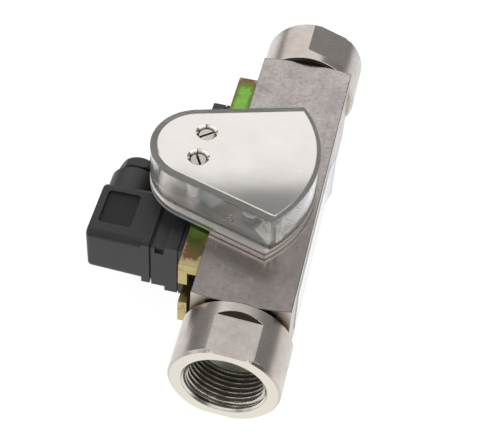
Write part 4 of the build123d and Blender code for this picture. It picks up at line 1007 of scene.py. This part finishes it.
def printed_numbers(sizes, level):
    """Numbers beside the long marks, upright for a reader at the arc."""
    build = bmesh.new()
    for i in range(sizes.steps + 1):
        words = bpy.data.curves.new("number", type="FONT")
        words.body = str(i * sizes.step_value)
        words.size = sizes.digit_height
        words.extrude = HALF_INK
        words.align_x = "CENTER"
        words.align_y = "CENTER"
        holder = bpy.data.objects.new("number", words)
        mesh = bpy.data.meshes.new_from_object(holder)
        spot = Matrix.Translation((sizes.outer_radius - NUMBER_INSET, 0, level))
        mesh.transform(scale_turn(sizes, i / sizes.steps) @ spot @ Matrix.Rotation(math.pi / 2, 4, "Z"))
        build.from_mesh(mesh)
        bpy.data.meshes.remove(mesh)
        bpy.data.objects.remove(holder)
        bpy.data.curves.remove(words)
    return build


class FLOWMETER_OT_scale(bpy.types.Operator):
    """Print the marks and numbers on the scale plate."""

    bl_idname = "flowmeter.scale"
    bl_label = "Scale Marks"

    def execute(self, context):
        sizes = context.scene.flowmeter_scale
        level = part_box("scale_plate")[1].z + HALF_INK
        centre = pointer_pivot()
        ink = painted_sheet("scale_ink", (0.02, 0.02, 0.022), roughness=0.5)
        for name, build in (("scale_marks", printed_marks(sizes, level)),
                            ("scale_numbers", printed_numbers(sizes, level))):
            bmesh.ops.translate(build, verts=build.verts, vec=(centre.x, centre.y, 0))
            new_piece(name, build, ink)
        return {"FINISHED"}


# Switch, plug and label

class FLOWMETER_OT_switch(bpy.types.Operator):
    """Finish the sliding switch."""

    bl_idname = "flowmeter.switch"
    bl_label = "Switch"

    def execute(self, context):
        colours = context.scene.flowmeter_colours
        moulding = moulded_plastic("switch_moulding", rgba(colours.moulding, 0.9), roughness=0.46)
        finish_nodes(moulding, "switch_housing", "carriage_plate")
        finish_nodes(painted_sheet("board_green", (0.03, 0.16, 0.05), roughness=0.4), "circuit_board")
        finish_nodes(tinted_glass("reed_tube", (0.55, 0.80, 0.62)), "reed_contact")
        return {"FINISHED"}


class FLOWMETER_OT_plug(bpy.types.Operator):
    """Finish the plug and its cable gland."""

    bl_idname = "flowmeter.plug"
    bl_label = "Plug"

    def execute(self, context):
        colours = context.scene.flowmeter_colours
        finish_nodes(parted_plastic("plug_moulding", colours.moulding, roughness=0.45), "plug_housing")
        nut = moulded_plastic("nut_moulding", rgba(colours.moulding, 0.8), roughness=0.5)
        finish_nodes(nut, "gland_nut", "plug_insert")
        return {"FINISHED"}


class FLOWMETER_OT_label(bpy.types.Operator):
    """Finish the blank label."""

    bl_idname = "flowmeter.label"
    bl_label = "Label"

    def execute(self, context):
        film = painted_sheet("label_film", (0.88, 0.88, 0.87), roughness=0.3)
        film.node_tree.nodes["Principled BSDF"].inputs["Coat Weight"].default_value = 1.0
        finish_nodes(film, "side_label")
        return {"FINISHED"}


# Stage: floor, world, lights and camera

def stage_floor(size, level):
    """Pale floor that shows white to the camera and glows in reflections near the object."""
    white_glow, white_share, glow_near, glow_far, glow_end = 1.12, 0.84, 0.22, 0.7, 0.3
    build = bmesh.new()
    bmesh.ops.create_grid(build, x_segments=1, y_segments=1, size=size / 2)
    mesh = bpy.data.meshes.new("floor")
    build.to_mesh(mesh)
    build.free()
    floor = add_object("floor", mesh)
    floor.location = (0.0, FLOOR_MIDDLE, level)
    material, tree, shader = start_material("floor_paper", metallic=0.0, roughness=0.9)
    connect(tree, shader, Base_Color=(0.88, 0.88, 0.88, 1.0))
    path = place(tree, "ShaderNodeLightPath")
    away = calculate_vector(tree, "LENGTH", object_place(tree))["Value"]
    fade = greatest(tree, spread(tree, away, glow_near, glow_far, 1.0, glow_end), path["Is Transmission Ray"])
    glow = place(tree, "ShaderNodeEmission", Strength=fade)["Emission"]
    white = place(tree, "ShaderNodeEmission", Strength=white_glow)["Emission"]
    seen = times(tree, path["Is Camera Ray"], white_share)
    paper = mix_shaders(tree, seen, shader.outputs["BSDF"], white)
    reflected = greatest(tree, path["Is Glossy Ray"], path["Is Transmission Ray"])
    connect(tree, tree.nodes["Material Output"], Surface=mix_shaders(tree, reflected, paper, glow))
    mesh.materials.append(material)


def stage_world(dome_level):
    """White to the camera; for light, a dim dome over a bright horizon."""
    ahead_range, overhead_range, horizon_range, dim_share = (-0.55, 0.15), (0.2, 0.7), (-0.3, -0.12), 0.3
    world = bpy.data.worlds.new("studio")
    bpy.context.scene.world = world
    world.use_nodes = True
    tree = world.node_tree
    y, z = separate(tree, place(tree, "ShaderNodeTexCoord")["Generated"])[1:]
    ahead = spread(tree, y, *ahead_range, dome_level * dim_share, dome_level)
    overhead = spread(tree, z, *overhead_range, 0.0, dome_level)
    light = spread(tree, z, *horizon_range, 1.0, greatest(tree, ahead, overhead))
    path = place(tree, "ShaderNodeLightPath")
    white = greatest(tree, path["Is Camera Ray"], path["Is Transmission Ray"])
    connect(tree, tree.nodes["Background"], Color=(1.0, 0.99, 0.98, 1.0),
            Strength=greatest(tree, light, white))


def softbox(name, turn, low, high, span, distance, glow):
    """A rectangular light seen from the object between two heights, turned about the vertical."""
    middle = (low + high) / 2
    lamp = bpy.data.lights.new(name, type="AREA")
    lamp.shape = "RECTANGLE"
    lamp.size = 2 * distance * math.tan(span / 2)
    lamp.size_y = 2 * distance * math.tan((high - low) / 2)
    lamp.energy = glow * math.pi * lamp.size * lamp.size_y
    spot = add_object(name, lamp)
    level = math.cos(middle)
    direction = Vector((-math.sin(turn) * level, math.cos(turn) * level, math.sin(middle)))
    spot.location = direction * distance + LIT_SPOT
    spot.rotation_euler = direction.to_track_quat("Z", "Y").to_euler()


def stage_camera():
    """Camera at the photograph's place."""
    lens = bpy.data.cameras.new("camera")
    lens.sensor_fit = "HORIZONTAL"
    lens.sensor_width = 36.0
    lens.lens = 94.42
    lens.clip_start = 0.01
    lens.clip_end = 20.0
    camera = add_object("camera", lens)
    right = Vector((0.975004, 0.216201, 0.0512335))
    up = Vector((-0.197483, 0.737567, 0.645752))
    back = Vector((0.101824, -0.639728, 0.761826))
    turn = Matrix((right, up, back)).transposed().to_4x4()
    camera.matrix_world = Matrix.Translation((0.04936, -0.27406, 0.42853)) @ turn
    bpy.context.scene.camera = camera


class FLOWMETER_OT_stage(bpy.types.Operator):
    """Set the floor, the light and the camera."""

    bl_idname = "flowmeter.stage"
    bl_label = "Stage"

    def execute(self, context):
        values = context.scene.flowmeter_stage
        stage_floor(values.floor_size, cad_bounds[0][2])
        stage_world(values.dome)
        for name, turn, low, high, span, distance, glow in SOFTBOXES:
            angles = [math.radians(angle) for angle in (turn, low, high, span)]
            softbox(name, *angles, distance, getattr(values, glow))
        stage_camera()
        context.scene.view_settings.view_transform = "Standard"
        return {"FINISHED"}


class FLOWMETER_PT_panel(bpy.types.Panel):
    """Lists the steps that finish the flow meter."""

    bl_idname = "FLOWMETER_PT_panel"
    bl_label = "Flow Meter"
    bl_space_type = "VIEW_3D"
    bl_region_type = "UI"
    bl_category = "Flow Meter"

    def draw(self, context):
        for step in STEPS:
            self.layout.operator(step.bl_idname)


STEPS = (
    FLOWMETER_OT_block,
    FLOWMETER_OT_fittings,
    FLOWMETER_OT_rails,
    FLOWMETER_OT_indicator,
    FLOWMETER_OT_scale,
    FLOWMETER_OT_switch,
    FLOWMETER_OT_plug,
    FLOWMETER_OT_label,
    FLOWMETER_OT_stage,
)
GROUPS = {
    "flowmeter_fittings": FlowMeterFittings,
    "flowmeter_scale": FlowMeterScale,
    "flowmeter_colours": FlowMeterColours,
    "flowmeter_stage": FlowMeterStage,
}


def register():
    """Register the sizes, the steps and the panel."""
    for name, group in GROUPS.items():
        bpy.utils.register_class(group)
        setattr(bpy.types.Scene, name, PointerProperty(type=group))
    for step in STEPS:
        bpy.utils.register_class(step)
    bpy.utils.register_class(FLOWMETER_PT_panel)


def unregister():
    """Take everything out again."""
    bpy.utils.unregister_class(FLOWMETER_PT_panel)
    for step in reversed(STEPS):
        bpy.utils.unregister_class(step)
    for name, group in GROUPS.items():
        delattr(bpy.types.Scene, name)
        bpy.utils.unregister_class(group)


def main():
    """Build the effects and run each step."""
    register()
    build_rounded_edges()
    build_mottle()
    build_streaks()
    build_turning()
    build_grain()
    build_inner_wall()
    for step in STEPS:
        name = step.bl_idname.split(".")[1]
        getattr(bpy.ops.flowmeter, name)()


if __name__ == "__main__":
    main()
